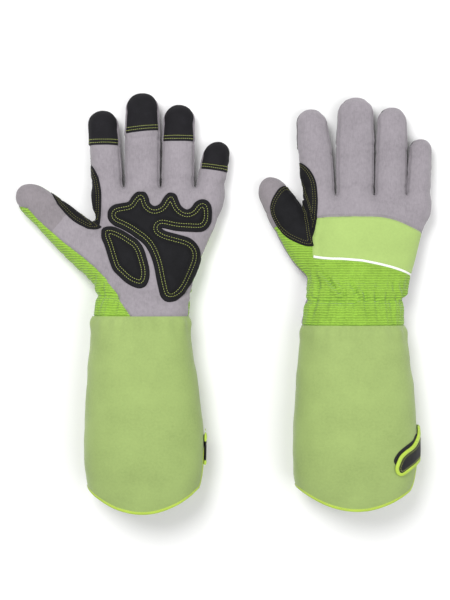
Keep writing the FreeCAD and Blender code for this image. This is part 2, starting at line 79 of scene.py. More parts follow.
LEFT = dict(
    tag="left_", palm=1.0, yk=103.1, ys=-14.7, y_el=4.5,
    hand=[(112.0, -62.0, 61.6, 13.7, 13.1), (103.1, -62.2, 61.8, 13.7, 13.3), (86.0, -63.2, 58.9, 16.2, 15.6), (67.9, -65.3, 54.9, 18.5, 17.6),
          (43.2, -70.8, 49.4, 21.2, 19.6), (19.5, -75.3, 45.4, 23.3, 22.1), (0.5, -76.7, 43.5, 25.6, 24.6), (-14.7, -78.6, 45.8, 28.0, 27.4), (-26.0, -78.6, 46.4, 29.4, 28.6)],
    cuff=[(-12.0, -78.6, 45.8, 28.0, 27.4), (-42.3, -78.4, 48.4, 31.6, 31.0), (-75.5, -76.7, 52.5, 34.6, 34.0),
          (-113.5, -75.8, 55.8, 36.2, 35.6), (-142.0, -75.5, 56.5, 36.3, 35.7), (-170.5, -75.5, 54.1, 35.0, 34.0), (-187, -76.1, 50.0, 33.4, 32.0), (-202.0, -76.4, 44.2, 32.0, 30.0)],
    hem=(-76.0, -197.0, 0.0078),
    fingers=dict(
        index=dict(x0=-110.6, x1=-116.4, y1=180.0, a=(13.4, 14.5, 13.7), b=(12.9, 12.6, 11.6), zc=(13.7, 13.1, 12.4), split=147.1, patch=((-1, 147.6), (1, 147.6)), zone=(26.0, 12.5), cut=131.5),
        middle=dict(x0=-78.4, x1=-78.2, y1=197.1, a=(16.2, 16.8, 15.4), b=(13.0, 12.8, 12.0), zc=(13.7, 13.3, 12.8), split=155.1, patch=((-1, 158.8), (1, 161.6)), zone=(26.0, 13.0), cut=135.5),
        ring=dict(x0=-44.7, x1=-43.2, y1=185.7, a=(14.9, 15.3, 14.3), b=(12.9, 12.6, 11.6), zc=(13.7, 13.1, 12.4), split=150.1, patch=((-1, 151.2), (1, 151.2)), zone=(26.0, 12.5), cut=133.5),
        little=dict(x0=-14.6, x1=-6.2, y1=150.6, a=(12.9, 13.2, 11.8), b=(12.2, 11.8, 10.8), zc=(13.7, 12.5, 11.6), split=128.5, patch=((-1, 125.6), (1, 121.8)), zone=(17.0, 7.8), cut=120.4)),
    thumb=dict(p0=(-117.0, 38.0), ang=50.0, tip=104.5, root=22.4, base=(22.4, 46.6), mid=52.5, top=(58.0, 82.6), web=24.0, outer_seam=4.0, tip_back=92.0,
               st=[(-26.0, 3.0, 14.0, 23.0, 12.0), (-6.0, 1.0, 21.5, 20.2, 15.5), (21.9, 0.9, 21.0, 18.3, 16.0), (52.0, 1.7, 18.6, 16.6, 14.6), (80.0, 1.9, 15.8, 15.2, 13.2)]),
    lens=[(14.0, 10, 30), (17.7, -20, 84), (24.0, -40, 108), (34.8, -54, 128), (47.6, -58, 140), (61.2, -50, 140), (72.0, -32, 118), (77.5, -8, 84), (80.0, 20, 54)],
    k_thumb=11.0, gaps=(0, 1.5, 0))
RIGHT = dict(
    tag="right_", palm=-1.0, yk=95.5, ys=-23.3, y_el=-0.3,
    hand=[(104.0, 135.6, 59.8, 16.6, 13.2), (95.5, 135.4, 59.8, 16.8, 13.3), (81.2, 135.1, 57.7, 19.0, 15.6), (65.1, 133.9, 53.7, 21.0, 17.6),
          (42.3, 131.8, 49.6, 23.0, 19.6), (19.5, 126.3, 48.4, 25.3, 22.1), (0.5, 122.8, 45.4, 27.2, 24.6), (-23.3, 121.1, 48.0, 28.8, 27.8), (-34.0, 121.1, 48.6, 29.8, 28.8)],
    cuff=[(-20.5, 121.1, 48.2, 28.8, 27.8), (-47.0, 121.6, 51.8, 31.8, 31.0), (-80.3, 122.5, 55.1, 34.6, 34.0),
          (-113.5, 122.8, 57.7, 36.2, 35.6), (-142.0, 122.8, 58.7, 36.3, 35.7), (-170.5, 121.6, 55.8, 35.0, 34.0), (-186, 121.8, 51.4, 33.4, 32.0), (-200.0, 122.1, 45.6, 32.0, 30.0)],
    hem=(122.2, -194.5, 0.0066),
    fingers=dict(
        index=dict(x0=90.6, x1=82.4, y1=181.8, a=(14.1, 15.8, 14.1), b=(12.9, 12.6, 11.6), zc=(16.8, 15.6, 14.4), split=141.5, patch=((-1, 144.0), (1, 144.0)), zone=(25.0, 12.5), cut=125.0),
        middle=dict(x0=124.2, x1=125.0, y1=193.2, a=(17.1, 18.0, 16.6), b=(13.0, 12.8, 12.0), zc=(16.8, 15.8, 14.8), split=147.5, patch=((-1, 152.0), (1, 152.0)), zone=(25.0, 13.0), cut=127.5),
        ring=dict(x0=157.6, x1=160.2, y1=183.3, a=(14.4, 14.8, 13.7), b=(12.9, 12.6, 11.6), zc=(16.8, 15.6, 14.4), split=142.5, patch=((-1, 145.0), (1, 145.0)), zone=(25.0, 12.5), cut=125.2),
        little=dict(x0=184.0, x1=187.1, y1=153.4, a=(11.0, 11.1, 10.3), b=(12.2, 11.8, 10.6), zc=(16.5, 15.0, 13.4), split=123.0, patch=((-1, 124.0), (1, 124.0)), zone=(17.5, 7.8), cut=114.0)),
    thumb=dict(p0=(85.0, 36.1), ang=29.0, tip=92.3, root=28.0, base=(28.0, 51.0), mid=52.0, top=(53.0, 76.0), web=17.5, outer_seam=3.0, tip_back=47.0,
               st=[(-30.0, 3.0, 9.0, 26.0, 10.0), (-8.0, 1.5, 14.5, 21.5, 13.0), (8.0, 0.0, 16.8, 19.3, 14.6), (27.0, -0.4, 17.0, 17.8, 14.4), (54.0, -1.2, 16.5, 16.4, 13.8), (73.0, -1.6, 13.8, 15.2, 12.6)]),
    lens=[(14.5, 60, 74), (18.0, 20, 92), (24.5, -14, 110), (33.0, -26, 128), (42.7, -28, 140), (55.0, -28, 142), (64.0, -20, 136), (71.0, -4, 112), (75.0, 14, 86), (77.5, 32, 62)],
    k_thumb=2.5, gaps=(0, 1.5, 1.3))
NAMES = ("index", "middle", "ring", "little")


# ------------------------------------------------------------------ numbers
def smooth_table(rows, step=1.0, sigma=5.0):
    rows = sorted(rows)
    y = np.arange(rows[0][0], rows[-1][0] + step, step)
    out = [y]
    k = np.exp(-0.5 * (np.arange(-18, 19) * step / sigma) ** 2)
    k /= k.sum()
    for c in range(1, len(rows[0])):
        v = np.interp(y, [r[0] for r in rows], [r[c] for r in rows])
        # reflect about the ends, so that the ends keep their slope
        lo = 2 * v[0] - v[18:0:-1]
        hi = 2 * v[-1] - v[-2:-20:-1]
        out.append(np.convolve(np.concatenate([lo, v, hi]), k, "valid"))
    return out


def at(table, y, c):
    return np.interp(y, table[0], table[c])


def smin(a, b, k):
    h = np.maximum(k - np.abs(a - b), 0) / k
    return np.minimum(a, b) - h * h * k * 0.25


def smooth01(t):
    t = np.clip(t, 0, 1)
    return t * t * (3 - 2 * t)


def line(pts, x):
    return np.interp(x, [p[0] for p in pts], [p[1] for p in pts])


def smooth_line(pts, d=(0, 0)):
    x = np.array([p[0] for p in pts], float) + d[0]
    y = np.array([p[1] for p in pts], float) + d[1]
    xs = np.arange(x[0], x[-1], 1.0)
    v = np.interp(xs, x, y)
    k = np.exp(-0.5 * (np.arange(-12, 13) / 4.0) ** 2)
    k /= k.sum()
    v2 = np.convolve(np.concatenate([2 * v[0] - v[12:0:-1], v, 2 * v[-1] - v[-2:-14:-1]]), k, "valid")
    return list(zip(xs, v2))


def spline(points, n=4):
    """Closed Catmull-Rom through points."""
    p = np.array(points, float)
    out = []
    for i in range(len(p)):
        p0, p1, p2, p3 = p[i - 1], p[i], p[(i + 1) % len(p)], p[(i + 2) % len(p)]
        for j in range(n):
            t = j / n
            out.append(0.5 * (2 * p1 + (p2 - p0) * t + (2 * p0 - 5 * p1 + 4 * p2 - p3) * t * t + (3 * p1 - p0 - 3 * p2 + p3) * t ** 3))
    return np.array(out)


def poly_distance(P, poly):
    """Signed distance to a closed outline in the plan, positive inside."""
    a = poly
    b = np.roll(poly, -1, 0)
    out = np.empty(len(P))
    for i in range(0, len(P), 20000):
        q = P[i:i + 20000, None, :2]
        e = b - a
        t = np.clip(((q - a) * e).sum(2) / (e * e).sum(1), 0, 1)
        d = np.sqrt((((q - a) - e * t[..., None]) ** 2).sum(2)).min(1)
        x, y = q[..., 0], q[..., 1]
        c = ((a[:, 1] > y) != (b[:, 1] > y)) & (x < (b[:, 0] - a[:, 0]) * (y - a[:, 1]) / (b[:, 1] - a[:, 1] + 1e-12) + a[:, 0])
        out[i:i + 20000] = np.where(c.sum(1) % 2 == 1, d, -d)
    return out


def fbm(P, scale, seed=0.0, octaves=3):
    """Smooth noise at points P (mm), about -1 to 1."""
    out = np.zeros(len(P))
    amp, total, f = 1.0, 0.0, 1.0 / scale
    for o in range(octaves):
        q = P * f + seed + o * 7.3
        out += amp * np.fromiter((noise.noise(v) for v in q.tolist()), float, len(P))
        total += amp
        amp *= 0.5
        f *= 2.0
    return out / total * 1.6


# ------------------------------------------------------------------ the hand as an implicit surface
class Hand:
    def __init__(self, G):
        self.G = G
        self.t = smooth_table(G["hand"])
        T = G["thumb"]
        ang = math.radians(T["ang"])
        self.u = np.array([-math.sin(ang), math.cos(ang)])
        self.r = np.array([math.cos(ang), math.sin(ang)])
        self.p0 = np.array(T["p0"])
        self.tt = smooth_table(T["st"], 1.0, 5.0)
        self.ft = {}
        for n, f in G["fingers"].items():
            L = f["y1"] - G["yk"]
            s2 = L - f["a"][2] * 0.98
            rows = [(-20.0, f["a"][0], f["zc"][0], f["b"][0]), (0.0, f["a"][0], f["zc"][0], f["b"][0]), (s2 * 0.62, f["a"][1], f["zc"][1], f["b"][1]), (s2, f["a"][2], f["zc"][2], f["b"][2]), (L, f["a"][2], f["zc"][2], f["b"][2])]
            self.ft[n] = (smooth_table(rows, 1.0, 4.0), s2, L)

    def palm(self, P):
        t = self.t
        y = P[:, 1]
        a, zc, b = at(t, y, 2), at(t, y, 3), at(t, y, 4)
        return self.sup(P[:, 0] - at(t, y, 1), P[:, 2] - zc, a, b, 2.25)

    @staticmethod
    def sup(x, z, a, b, p, extra=None):
        X, Z = np.abs(x) / a, np.abs(z) / b
        xp, zp = X ** (p - 1), Z ** (p - 1)
        r = (xp * X + zp * Z) ** (1 / p)
        r = np.maximum(r, 0.08)
        k = r ** (p - 1)
        gx, gz = xp / k / a, zp / k / b
        if extra is None:
            return (r - 1) / np.sqrt(gx * gx + gz * gz + 1e-6)
        e, de = extra
        q = np.sqrt(r * r + e * e)
        g = np.sqrt((gx * gx + gz * gz) * (r / q) ** 2 + (de * e / q) ** 2 + 1e-6)
        return (q - 1) / g

    def finger(self, P, n):
        f = self.G["fingers"][n]
        tab, s2, L = self.ft[n]
        t = P[:, 1] - self.G["yk"]
        x = P[:, 0] - (f["x0"] + (f["x1"] - f["x0"]) * t / L)
        a, zc, b = at(tab, t, 1), at(tab, t, 2), at(tab, t, 3)
        hi, lo = np.maximum(0, t - s2) / (L - s2), np.maximum(0, -12.0 - t) / 9.0
        e = np.maximum(hi, lo)
        de = np.where(hi > 0, 1 / (L - s2), 1 / 9.0)
        return self.sup(x, P[:, 2] - zc, a, b, 2.3, (e, de))

    def thumb_sc(self, P):
        q = P[:, :2] - self.p0
        return q @ self.u, q @ self.r

    def thumb(self, P):
        T = self.G["thumb"]
        s, c = self.thumb_sc(P)
        tab = self.tt
        s2 = T["st"][-1][0]
        a, zc, b = at(tab, s, 2), at(tab, s, 3), at(tab, s, 4)
        L = T["tip"] - s2
        hi, lo = np.maximum(0, s - s2) / L, np.maximum(0, T["st"][0][0] + 9.0 - s) / 9.0
        e = np.maximum(hi, lo)
        de = np.where(hi > 0, 1 / L, 1 / 9.0)
        return self.sup(c - at(tab, s, 1), P[:, 2] - zc, a, b, 2.3, (e, de))

    def separators(self, y):
        """x of the mid-line between neighbouring fingers."""
        out = []
        t = y - self.G["yk"]
        edge = {}
        for n in NAMES:
            f = self.G["fingers"][n]
            tab, s2, L = self.ft[n]
            x = f["x0"] + (f["x1"] - f["x0"]) * t / L
            a = at(tab, np.clip(t, -15, s2), 1)
            edge[n] = (x - a, x + a)
        for i, j in zip(NAMES, NAMES[1:]):
            out.append((edge[i][1] + edge[j][0]) / 2)
        return out

    def f(self, P):
        G = self.G
        y = P[:, 1]
        palm = self.palm(P)
        palm = -smin(-palm, -(y - (G["yk"] + 1.0)), 9.0)
        kf = 6.5 * np.clip((G["yk"] + 7.0 - y) / 9.0, 0.0, 1.0) + 0.05
        F = None
        for n in NAMES:
            d = self.finger(P, n)
            F = d if F is None else smin(F, d, kf)
        F = smin(F, palm, 8.0)
        for xs, gap in zip(self.separators(y), G["gaps"]):
            if gap:
                F = np.maximum(F, gap / 2 - np.abs(P[:, 0] - xs) - np.maximum(0, G["yk"] + 5.0 - y) * 0.9)
        return smin(F, self.thumb(P), G["k_thumb"])

    def normal(self, P, e=0.35):
        g = np.empty_like(P)
        for k in range(3):
            d = np.zeros(3)
            d[k] = e
            g[:, k] = (self.f(P + d) - self.f(P - d)) / (2 * e)
        return g

    def zmid(self, P):
        """Height of the side seams."""
        z = at(self.t, P[:, 1], 3)
        t = P[:, 1] - self.G["yk"]
        seps = self.separators(P[:, 1])
        fi = sum((P[:, 0] > s).astype(int) for s in seps)
        zf = np.choose(fi, [at(self.ft[n][0], np.maximum(t, 0), 2) for n in NAMES])
        z = z + (zf - z) * smooth01((t + 2) / 8)
        s, c = self.thumb_sc(P)
        zt = at(self.tt, np.maximum(s, 0), 3)
        w = smooth01((s + 4) / 22) * smooth01((self.G["thumb"]["web"] + 10 - c) / 14)
        return z + (zt - z) * w, fi


def grid_surface(H, lo, hi, h):
    ax = [np.arange(lo[k], hi[k] + h[k], h[k]) for k in range(3)]
    n = [len(a) for a in ax]
    F = np.empty(n, np.float32)
    YZ = np.stack(np.meshgrid(ax[1], ax[2], indexing="ij"), -1).reshape(-1, 2)
    block = max(1, 400000 // len(YZ))
    for i in range(0, n[0], block):
        xs = ax[0][i:i + block]
        P = np.empty((len(xs) * len(YZ), 3))
        P[:, 0] = np.repeat(xs, len(YZ))
        P[:, 1:] = np.tile(YZ, (len(xs), 1))
        F[i:i + block] = H.f(P).reshape(len(xs), n[1], n[2])
    s = F < 0
    cells = np.zeros([k - 1 for k in n], np.int8)
    for dx in (0, 1):
        for dy in (0, 1):
            for dz in (0, 1):
                cells += s[dx:n[0] - 1 + dx, dy:n[1] - 1 + dy, dz:n[2] - 1 + dz]
    mixed = (cells > 0) & (cells < 8)
    idx = np.full(mixed.shape, -1, np.int64)
    I, J, K = np.nonzero(mixed)
    idx[I, J, K] = np.arange(len(I))
    acc, cnt = np.zeros((len(I), 3)), np.zeros(len(I))
    for axis in range(3):
        o1, o2 = [k for k in range(3) if k != axis]
        for p in (0, 1):
            for q in (0, 1):
                A = np.zeros(3, int)
                A[o1], A[o2] = p, q
                B = A.copy()
                B[axis] = 1
                fa, fb = F[I + A[0], J + A[1], K + A[2]], F[I + B[0], J + B[1], K + B[2]]
                m = (fa < 0) != (fb < 0)
                t = np.where(m, fa / np.where(m, fa - fb, 1), 0)
                pt = A + np.outer(t, B - A)
                acc[m] += pt[m]
                cnt[m] += 1
    V = np.array([a[0] for a in ax]) + (np.stack([I, J, K], 1) + acc / cnt[:, None]) * np.array(h)
    faces = []
    sx = s[:-1] != s[1:]
    i, j, k = np.nonzero(sx[:, 1:-1, 1:-1])
    j, k = j + 1, k + 1
    q = np.stack([idx[i, j - 1, k - 1], idx[i, j, k - 1], idx[i, j, k], idx[i, j - 1, k]], 1)
    faces.append(np.where(s[i, j, k][:, None], q, q[:, ::-1]))
    sy = s[:, :-1] != s[:, 1:]
    i, j, k = np.nonzero(sy[1:-1, :, 1:-1])
    i, k = i + 1, k + 1
    q = np.stack([idx[i - 1, j, k - 1], idx[i - 1, j, k], idx[i, j, k], idx[i, j, k - 1]], 1)
    faces.append(np.where(s[i, j, k][:, None], q, q[:, ::-1]))
    sz = s[:, :, :-1] != s[:, :, 1:]
    i, j, k = np.nonzero(sz[1:-1, 1:-1, :])
    i, j = i + 1, j + 1
    q = np.stack([idx[i - 1, j - 1, k], idx[i, j - 1, k], idx[i, j, k], idx[i - 1, j, k]], 1)
    faces.append(np.where(s[i, j, k][:, None], q, q[:, ::-1]))
    Q = np.concatenate(faces)
    T = np.concatenate([Q[:, [0, 1, 2]], Q[:, [0, 2, 3]]])
    for _ in range(4):
        g = H.normal(V)
        V = V - g * (H.f(V) / np.maximum((g * g).sum(1), 0.15))[:, None]
    return V, T


# ------------------------------------------------------------------ cutting meshes along lines g = 0
class Net:
    """Triangles with named values at their corners."""

    def __init__(self, V, T, **data):
        self.T, self.d = T, dict(V=V, **data)

    def cut(self, g, eps=0.12):
        g = np.where(np.abs(g) < eps, 0.0, g)
        s = np.sign(g).astype(np.int8)
        sf = s[self.T]
        X = (sf > 0).any(1) & (sf < 0).any(1)
        T, S, keep = self.T[X], sf[X], self.T[~X]
        if len(T) == 0:
            return
        new = [keep]
        base = len(g)
        edges = []

        def rotate(T, first):
            k = np.stack([first, (first + 1) % 3, (first + 2) % 3], 1)
            return np.take_along_axis(T, k, 1)

        za = (S == 0).sum(1) == 1
        A = rotate(T[za], np.argmax(S[za] == 0, 1))
        B0, SB = T[~za], S[~za]
        lone = np.where(SB[:, 0] == SB[:, 1], 2, np.where(SB[:, 1] == SB[:, 2], 0, 1))
        B = rotate(B0, lone)
        edges = np.concatenate([A[:, [1, 2]], B[:, [0, 1]], B[:, [0, 2]]])
        e = np.sort(edges, 1)
        uniq, inv = np.unique(e[:, 0] * np.int64(base) + e[:, 1], return_inverse=True)
        inv = inv.ravel()
        ea, eb = uniq // base, uniq % base
        t = (g[ea] / (g[ea] - g[eb]))
        for key, v in self.d.items():
            tt = t if v.ndim == 1 else t[:, None]
            self.d[key] = np.concatenate([v, v[ea] * (1 - tt) + v[eb] * tt])
        m = base + inv
        mA, m1, m2 = m[:len(A)], m[len(A):len(A) + len(B)], m[len(A) + len(B):]
        new.append(np.stack([A[:, 0], A[:, 1], mA], 1))
        new.append(np.stack([A[:, 0], mA, A[:, 2]], 1))
        new.append(np.stack([B[:, 0], m1, m2], 1))
        new.append(np.stack([m1, B[:, 1], B[:, 2]], 1))
        new.append(np.stack([m1, B[:, 2], m2], 1))
        self.T = np.concatenate(new)

    def keep(self, mask):
        self.T = self.T[mask]
        used = np.unique(self.T)
        remap = np.full(len(self.d["V"]), -1, np.int64)
        remap[used] = np.arange(len(used))
        self.T = remap[self.T]
        for k in self.d:
            self.d[k] = self.d[k][used]

    def centres(self, key="V"):
        return self.d[key][self.T].mean(1)


def vertex_normals(V, T):
    n = np.cross(V[T[:, 1]] - V[T[:, 0]], V[T[:, 2]] - V[T[:, 0]])
    out = np.zeros_like(V)
    for k in range(3):
        np.add.at(out, T[:, k], n)
    return out / np.maximum(np.linalg.norm(out, axis=1), 1e-12)[:, None]


def border_edges(T):
    """Directed edges with a triangle on one side only."""
    e = np.concatenate([T[:, [0, 1]], T[:, [1, 2]], T[:, [2, 0]]])
    key = np.sort(e, 1)
    n = T.max() + 1
    k = key[:, 0] * np.int64(n) + key[:, 1]
    uniq, inv, cnt = np.unique(k, return_inverse=True, return_counts=True)
    return e[cnt[inv.ravel()] == 1]


def seam_vertices(T, label):
    """Vertices on edges between triangles of different labels."""
    e = np.concatenate([T[:, [0, 1]], T[:, [1, 2]], T[:, [2, 0]]])
    lab = np.tile(label, 3)
    key = np.sort(e, 1)
    n = T.max() + 1
    k = key[:, 0] * np.int64(n) + key[:, 1]
    order = np.argsort(k, kind="stable")
    k, lab, key = k[order], lab[order], key[order]
    same = (k[1:] == k[:-1]) & (lab[1:] != lab[:-1])
    return np.unique(key[1:][same])


def nearest(V, points, limit=8.0):
    """Distance from each V to the nearest of points, cut off at limit."""
    out = np.full(len(V), limit)
    if len(points) == 0:
        return out
    lo, hi = points.min(0) - limit, points.max(0) + limit
    near = np.nonzero(((V > lo) & (V < hi)).all(1))[0]
    tree = KDTree(len(points))
    for i, p in enumerate(points.tolist()):
        tree.insert(p, i)
    tree.balance()
    for i, p in zip(near.tolist(), V[near].tolist()):
        out[i] = min(limit, tree.find(p)[2])
    return out


def iso_lines(V, T, g, level, extra=()):
    """Polylines where g = level on the triangles: list of (points, extra values...)."""
    h = g - level
    h = np.where(h == 0, 1e-9, h)
    s = h[T] > 0
    X = s.any(1) & ~s.all(1)
    T, s = T[X], s[X]
    lone = np.where(s[:, 0] == s[:, 1], 2, np.where(s[:, 1] == s[:, 2], 0, 1))
    k = np.stack([lone, (lone + 1) % 3, (lone + 2) % 3], 1)
    R = np.take_along_axis(T, k, 1)
    n = np.int64(len(V))
    e1, e2 = np.sort(R[:, [0, 1]], 1), np.sort(R[:, [0, 2]], 1)
    k1, k2 = e1[:, 0] * n + e1[:, 1], e2[:, 0] * n + e2[:, 1]
    link = {}
    for a, b in zip(k1.tolist(), k2.tolist()):
        link.setdefault(a, []).append(b)
        link.setdefault(b, []).append(a)
    lines, seen = [], set()
    starts = [k for k, v in link.items() if len(v) == 1] + list(link)
    for s0 in starts:
        if s0 in seen:
            continue
        path = [s0]
        seen.add(s0)
        cur = s0
        while True:
            nxt = [q for q in link[cur] if q not in seen]
            if not nxt:
                break
            cur = nxt[0]
            seen.add(cur)
            path.append(cur)
        closed = len(path) > 2 and s0 in link[cur]
        ks = np.array(path, np.int64)
        a, b = ks // n, ks % n
        t = (h[a] / (h[a] - h[b]))[:, None]
        rows = [W[a] * (1 - t) + W[b] * t for W in (V,) + tuple(extra)]
        if closed:
            rows = [np.concatenate([r, r[:1]]) for r in rows]
        lines.append(rows)
    return lines


def resample(rows, pitch):
    p = rows[0]
    d = np.concatenate([[0], np.cumsum(np.linalg.norm(np.diff(p, axis=0), axis=1))])
    if d[-1] < pitch * 1.5:
        return None
    n = max(2, int(round(d[-1] / pitch)))
    q = np.linspace(0, d[-1], n + 1)
    return [np.stack([np.interp(q, d, r[:, k]) for k in range(r.shape[1])], 1) for r in rows]


# ------------------------------------------------------------------ making objects
MATS = {}


def make(name, V, F, mat, smooth=True, rest=None):
    me = bpy.data.meshes.new(name)
    V = np.asarray(V, float)
    if isinstance(F, np.ndarray) and F.shape[1] == 3:
        me.vertices.add(len(V))
        me.vertices.foreach_set("co", (V * MM).astype(np.float32).ravel())
        me.loops.add(len(F) * 3)
        me.loops.foreach_set("vertex_index", F.astype(np.int32).ravel())
        me.polygons.add(len(F))
        me.polygons.foreach_set("loop_start", np.arange(0, len(F) * 3, 3, dtype=np.int32))
        me.update(calc_edges=True)
    else:
        me.from_pydata([tuple(v) for v in (V * MM)], [], [tuple(int(i) for i in f) for f in F])
        me.update()
    me.validate()
    a = me.attributes.new("rest", "FLOAT_VECTOR", "POINT")
    a.data.foreach_set("vector", ((V if rest is None else rest) * 1.0).astype(np.float32).ravel())
    me.polygons.foreach_set("use_smooth", [smooth] * len(me.polygons))
    if isinstance(F, np.ndarray):
        me.set_sharp_from_angle(angle=math.radians(58))
    o = bpy.data.objects.new(name, me)
    bpy.context.scene.collection.objects.link(o)
    me.materials.append(MATS[mat])
    return o


def closed_layer(V, N, T, out, back):
    """Triangles T as a closed layer from V + N*out to V + N*back. Returns vertices, faces."""
    used = np.unique(T)
    remap = np.full(len(V), -1, np.int64)
    remap[used] = np.arange(len(used))
    t = remap[T]
    n = len(used)
    o = out[used] if isinstance(out, np.ndarray) else np.full(n, out)
    b = back[used] if isinstance(back, np.ndarray) else np.full(n, back)
    top = V[used] + N[used] * o[:, None]
    bottom = V[used] + N[used] * b[:, None]
    e = border_edges(t)
    rim = np.concatenate([np.stack([e[:, 1], e[:, 0], e[:, 0] + n], 1), np.stack([e[:, 1], e[:, 0] + n, e[:, 1] + n], 1)])
    return np.concatenate([top, bottom]), np.concatenate([t, t[:, ::-1] + n, rim]), used


def sweep(points, normals, ra, rb, sides=8, closed=False, power=2.0):
    """A tube along points: ra across the surface, rb along its normal."""
    p = points
    if closed:
        tan = np.roll(p, -1, 0) - np.roll(p, 1, 0)
    else:
        tan = np.gradient(p, axis=0)
    tan /= np.maximum(np.linalg.norm(tan, axis=1), 1e-9)[:, None]
    nn = normals - tan * (normals * tan).sum(1)[:, None]
    nn /= np.maximum(np.linalg.norm(nn, axis=1), 1e-9)[:, None]
    side = np.cross(tan, nn)
    V, F = [], []
    n = len(p)
    for k in range(sides):
        a = 2 * math.pi * k / sides
        V.append(p + side * (math.cos(a) * ra) + nn * (math.sin(a) * rb))
    V = np.stack(V, 1).reshape(-1, 3)
    for i in range(n if closed else n - 1):
        j = (i + 1) % n
        for k in range(sides):
            l = (k + 1) % sides
            F.append((i * sides + k, i * sides + l, j * sides + l, j * sides + k))
    if not closed:
        F.append(tuple(range(sides))[::-1])
        F.append(tuple((n - 1) * sides + k for k in range(sides)))
    return V, F


def stitches(lines, pitch=2.3, long=1.55, thick=0.27, lift=0.12):
    """Short thread lengths along polylines with normals."""
    ring = [(math.cos(2 * math.pi * k / 6), math.sin(2 * math.pi * k / 6)) for k in range(6)]
    V, F = [], []
    for rows in lines:
        r = resample(rows, pitch)
        if r is None:
            continue
        p, n = r
        mid = (p[1:] + p[:-1]) / 2
        tan = p[1:] - p[:-1]
        tan /= np.maximum(np.linalg.norm(tan, axis=1), 1e-9)[:, None]
        nn = (n[1:] + n[:-1]) / 2
        nn -= tan * (nn * tan).sum(1)[:, None]
        nn /= np.maximum(np.linalg.norm(nn, axis=1), 1e-9)[:, None]
        sd = np.cross(tan, nn)
        for i in range(len(mid)):
            base = len(V)
            c = mid[i] + nn[i] * lift
            for s, k in ((-0.5, 0.35), (-0.3, 1.0), (0.3, 1.0), (0.5, 0.35)):
                dip = -0.25 if abs(s) > 0.4 else 0.0
                for ca, sa in ring:
                    V.append(c + tan[i] * (s * long) + sd[i] * (ca * thick * k) + nn[i] * (sa * thick * k * 0.9 + dip))
            for a in range(3):
                for k in range(6):
                    l = (k + 1) % 6
                    F.append((base + a * 6 + k, base + a * 6 + l, base + a * 6 + 6 + l, base + a * 6 + 6 + k))
            F.append(tuple(base + k for k in range(6))[::-1])
            F.append(tuple(base + 18 + k for k in range(6)))
    return (np.array(V), F) if V else (None, None)


# ------------------------------------------------------------------ materials
def srgb(r, g, b):
    f = lambda c: (c / 255) / 12.92 if c / 255 <= 0.04045 else ((c / 255 + 0.055) / 1.055) ** 2.4
    return (f(r), f(g), f(b), 1.0)


class Nodes:
    def __init__(self, name):
        self.m = bpy.data.materials.new(name)
        self.m.use_nodes = True
        self.t = self.m.node_tree
        self.t.nodes.clear()
        self.out = self.t.nodes.new("ShaderNodeOutputMaterial")
        self.b = self.t.nodes.new("ShaderNodeBsdfPrincipled")
        self.t.links.new(self.b.outputs[0], self.out.inputs[0])
        a = self.t.nodes.new("ShaderNodeAttribute")
        a.attribute_name = "rest"
        self.pos = a.outputs["Vector"]

    def scaled(self, x, y=None, z=None):
        """Position divided by lengths in mm."""
        n = self.t.nodes.new("ShaderNodeVectorMath")
        n.operation = "MULTIPLY"
        self.t.links.new(self.pos, n.inputs[0])
        n.inputs[1].default_value = (1 / x, 1 / (y or x), 1 / (z or x))
        return n.outputs[0]

    def noise(self, mm, detail=3.0, rough=0.55, stretch=None):
        n = self.t.nodes.new("ShaderNodeTexNoise")
        n.inputs["Scale"].default_value = 1.0
        n.inputs["Detail"].default_value = detail
        n.inputs["Roughness"].default_value = rough
        self.t.links.new(self.scaled(*(stretch or (mm,))), n.inputs["Vector"])
        return n.outputs["Fac"]

    def voronoi(self, mm, stretch=None, feature="F1"):
        n = self.t.nodes.new("ShaderNodeTexVoronoi")
        n.feature = feature
        n.inputs["Scale"].default_value = 1.0
        self.t.links.new(self.scaled(*(stretch or (mm,))), n.inputs["Vector"])
        return n.outputs["Distance"]

    def wave(self, mm, direction="Y", distort=0.6, dscale=1.0):
        n = self.t.nodes.new("ShaderNodeTexWave")
        n.wave_type = "BANDS"
        n.bands_direction = direction
        n.inputs["Scale"].default_value = 0.314
        n.inputs["Distortion"].default_value = distort
        n.inputs["Detail"].default_value = 1.0
        n.inputs["Detail Scale"].default_value = dscale
        self.t.links.new(self.scaled(mm), n.inputs["Vector"])
        return n.outputs["Fac"]

    def math(self, op, a, b=None):
        n = self.t.nodes.new("ShaderNodeMath")
        n.operation = op
        for i, v in enumerate((a, b)):
            if v is None:
                continue
            if isinstance(v, (int, float)):
                n.inputs[i].default_value = v
            else:
                self.t.links.new(v, n.inputs[i])
        return n.outputs[0]

    def ramp(self, fac, stops):
        n = self.t.nodes.new("ShaderNodeValToRGB")
        e = n.color_ramp.elements
        while len(e) < len(stops):
            e.new(0.5)
        for el, (p, c) in zip(e, stops):
            el.position = p
            el.color = c
        self.t.links.new(fac, n.inputs[0])
        return n.outputs[0]

    def mix(self, fac, a, b, mode="MIX"):
        n = self.t.nodes.new("ShaderNodeMix")
        n.data_type = "RGBA"
        n.blend_type = mode
        for sock, v in ((n.inputs[0], fac), (n.inputs[6], a), (n.inputs[7], b)):
            if isinstance(v, (int, float)):
                sock.default_value = v
            elif isinstance(v, tuple):
                sock.default_value = v
            else:
                self.t.links.new(v, sock)
        return n.outputs[2]

    def bump(self, height, strength, dist_mm):
        n = self.t.nodes.new("ShaderNodeBump")
        n.inputs["Strength"].default_value = strength
        n.inputs["Distance"].default_value = dist_mm * MM
        self.t.links.new(height, n.inputs["Height"])
        self.t.links.new(n.outputs[0], self.b.inputs["Normal"])

    def set(self, **k):
        for key, v in k.items():
            self.b.inputs[key.replace("_", " ")].default_value = v

    def colour(self, sock):
        self.t.links.new(sock, self.b.inputs["Base Color"])


def shade(c, k):
    return (min(1, c[0] * k), min(1, c[1] * k), min(1, c[2] * k), 1.0)


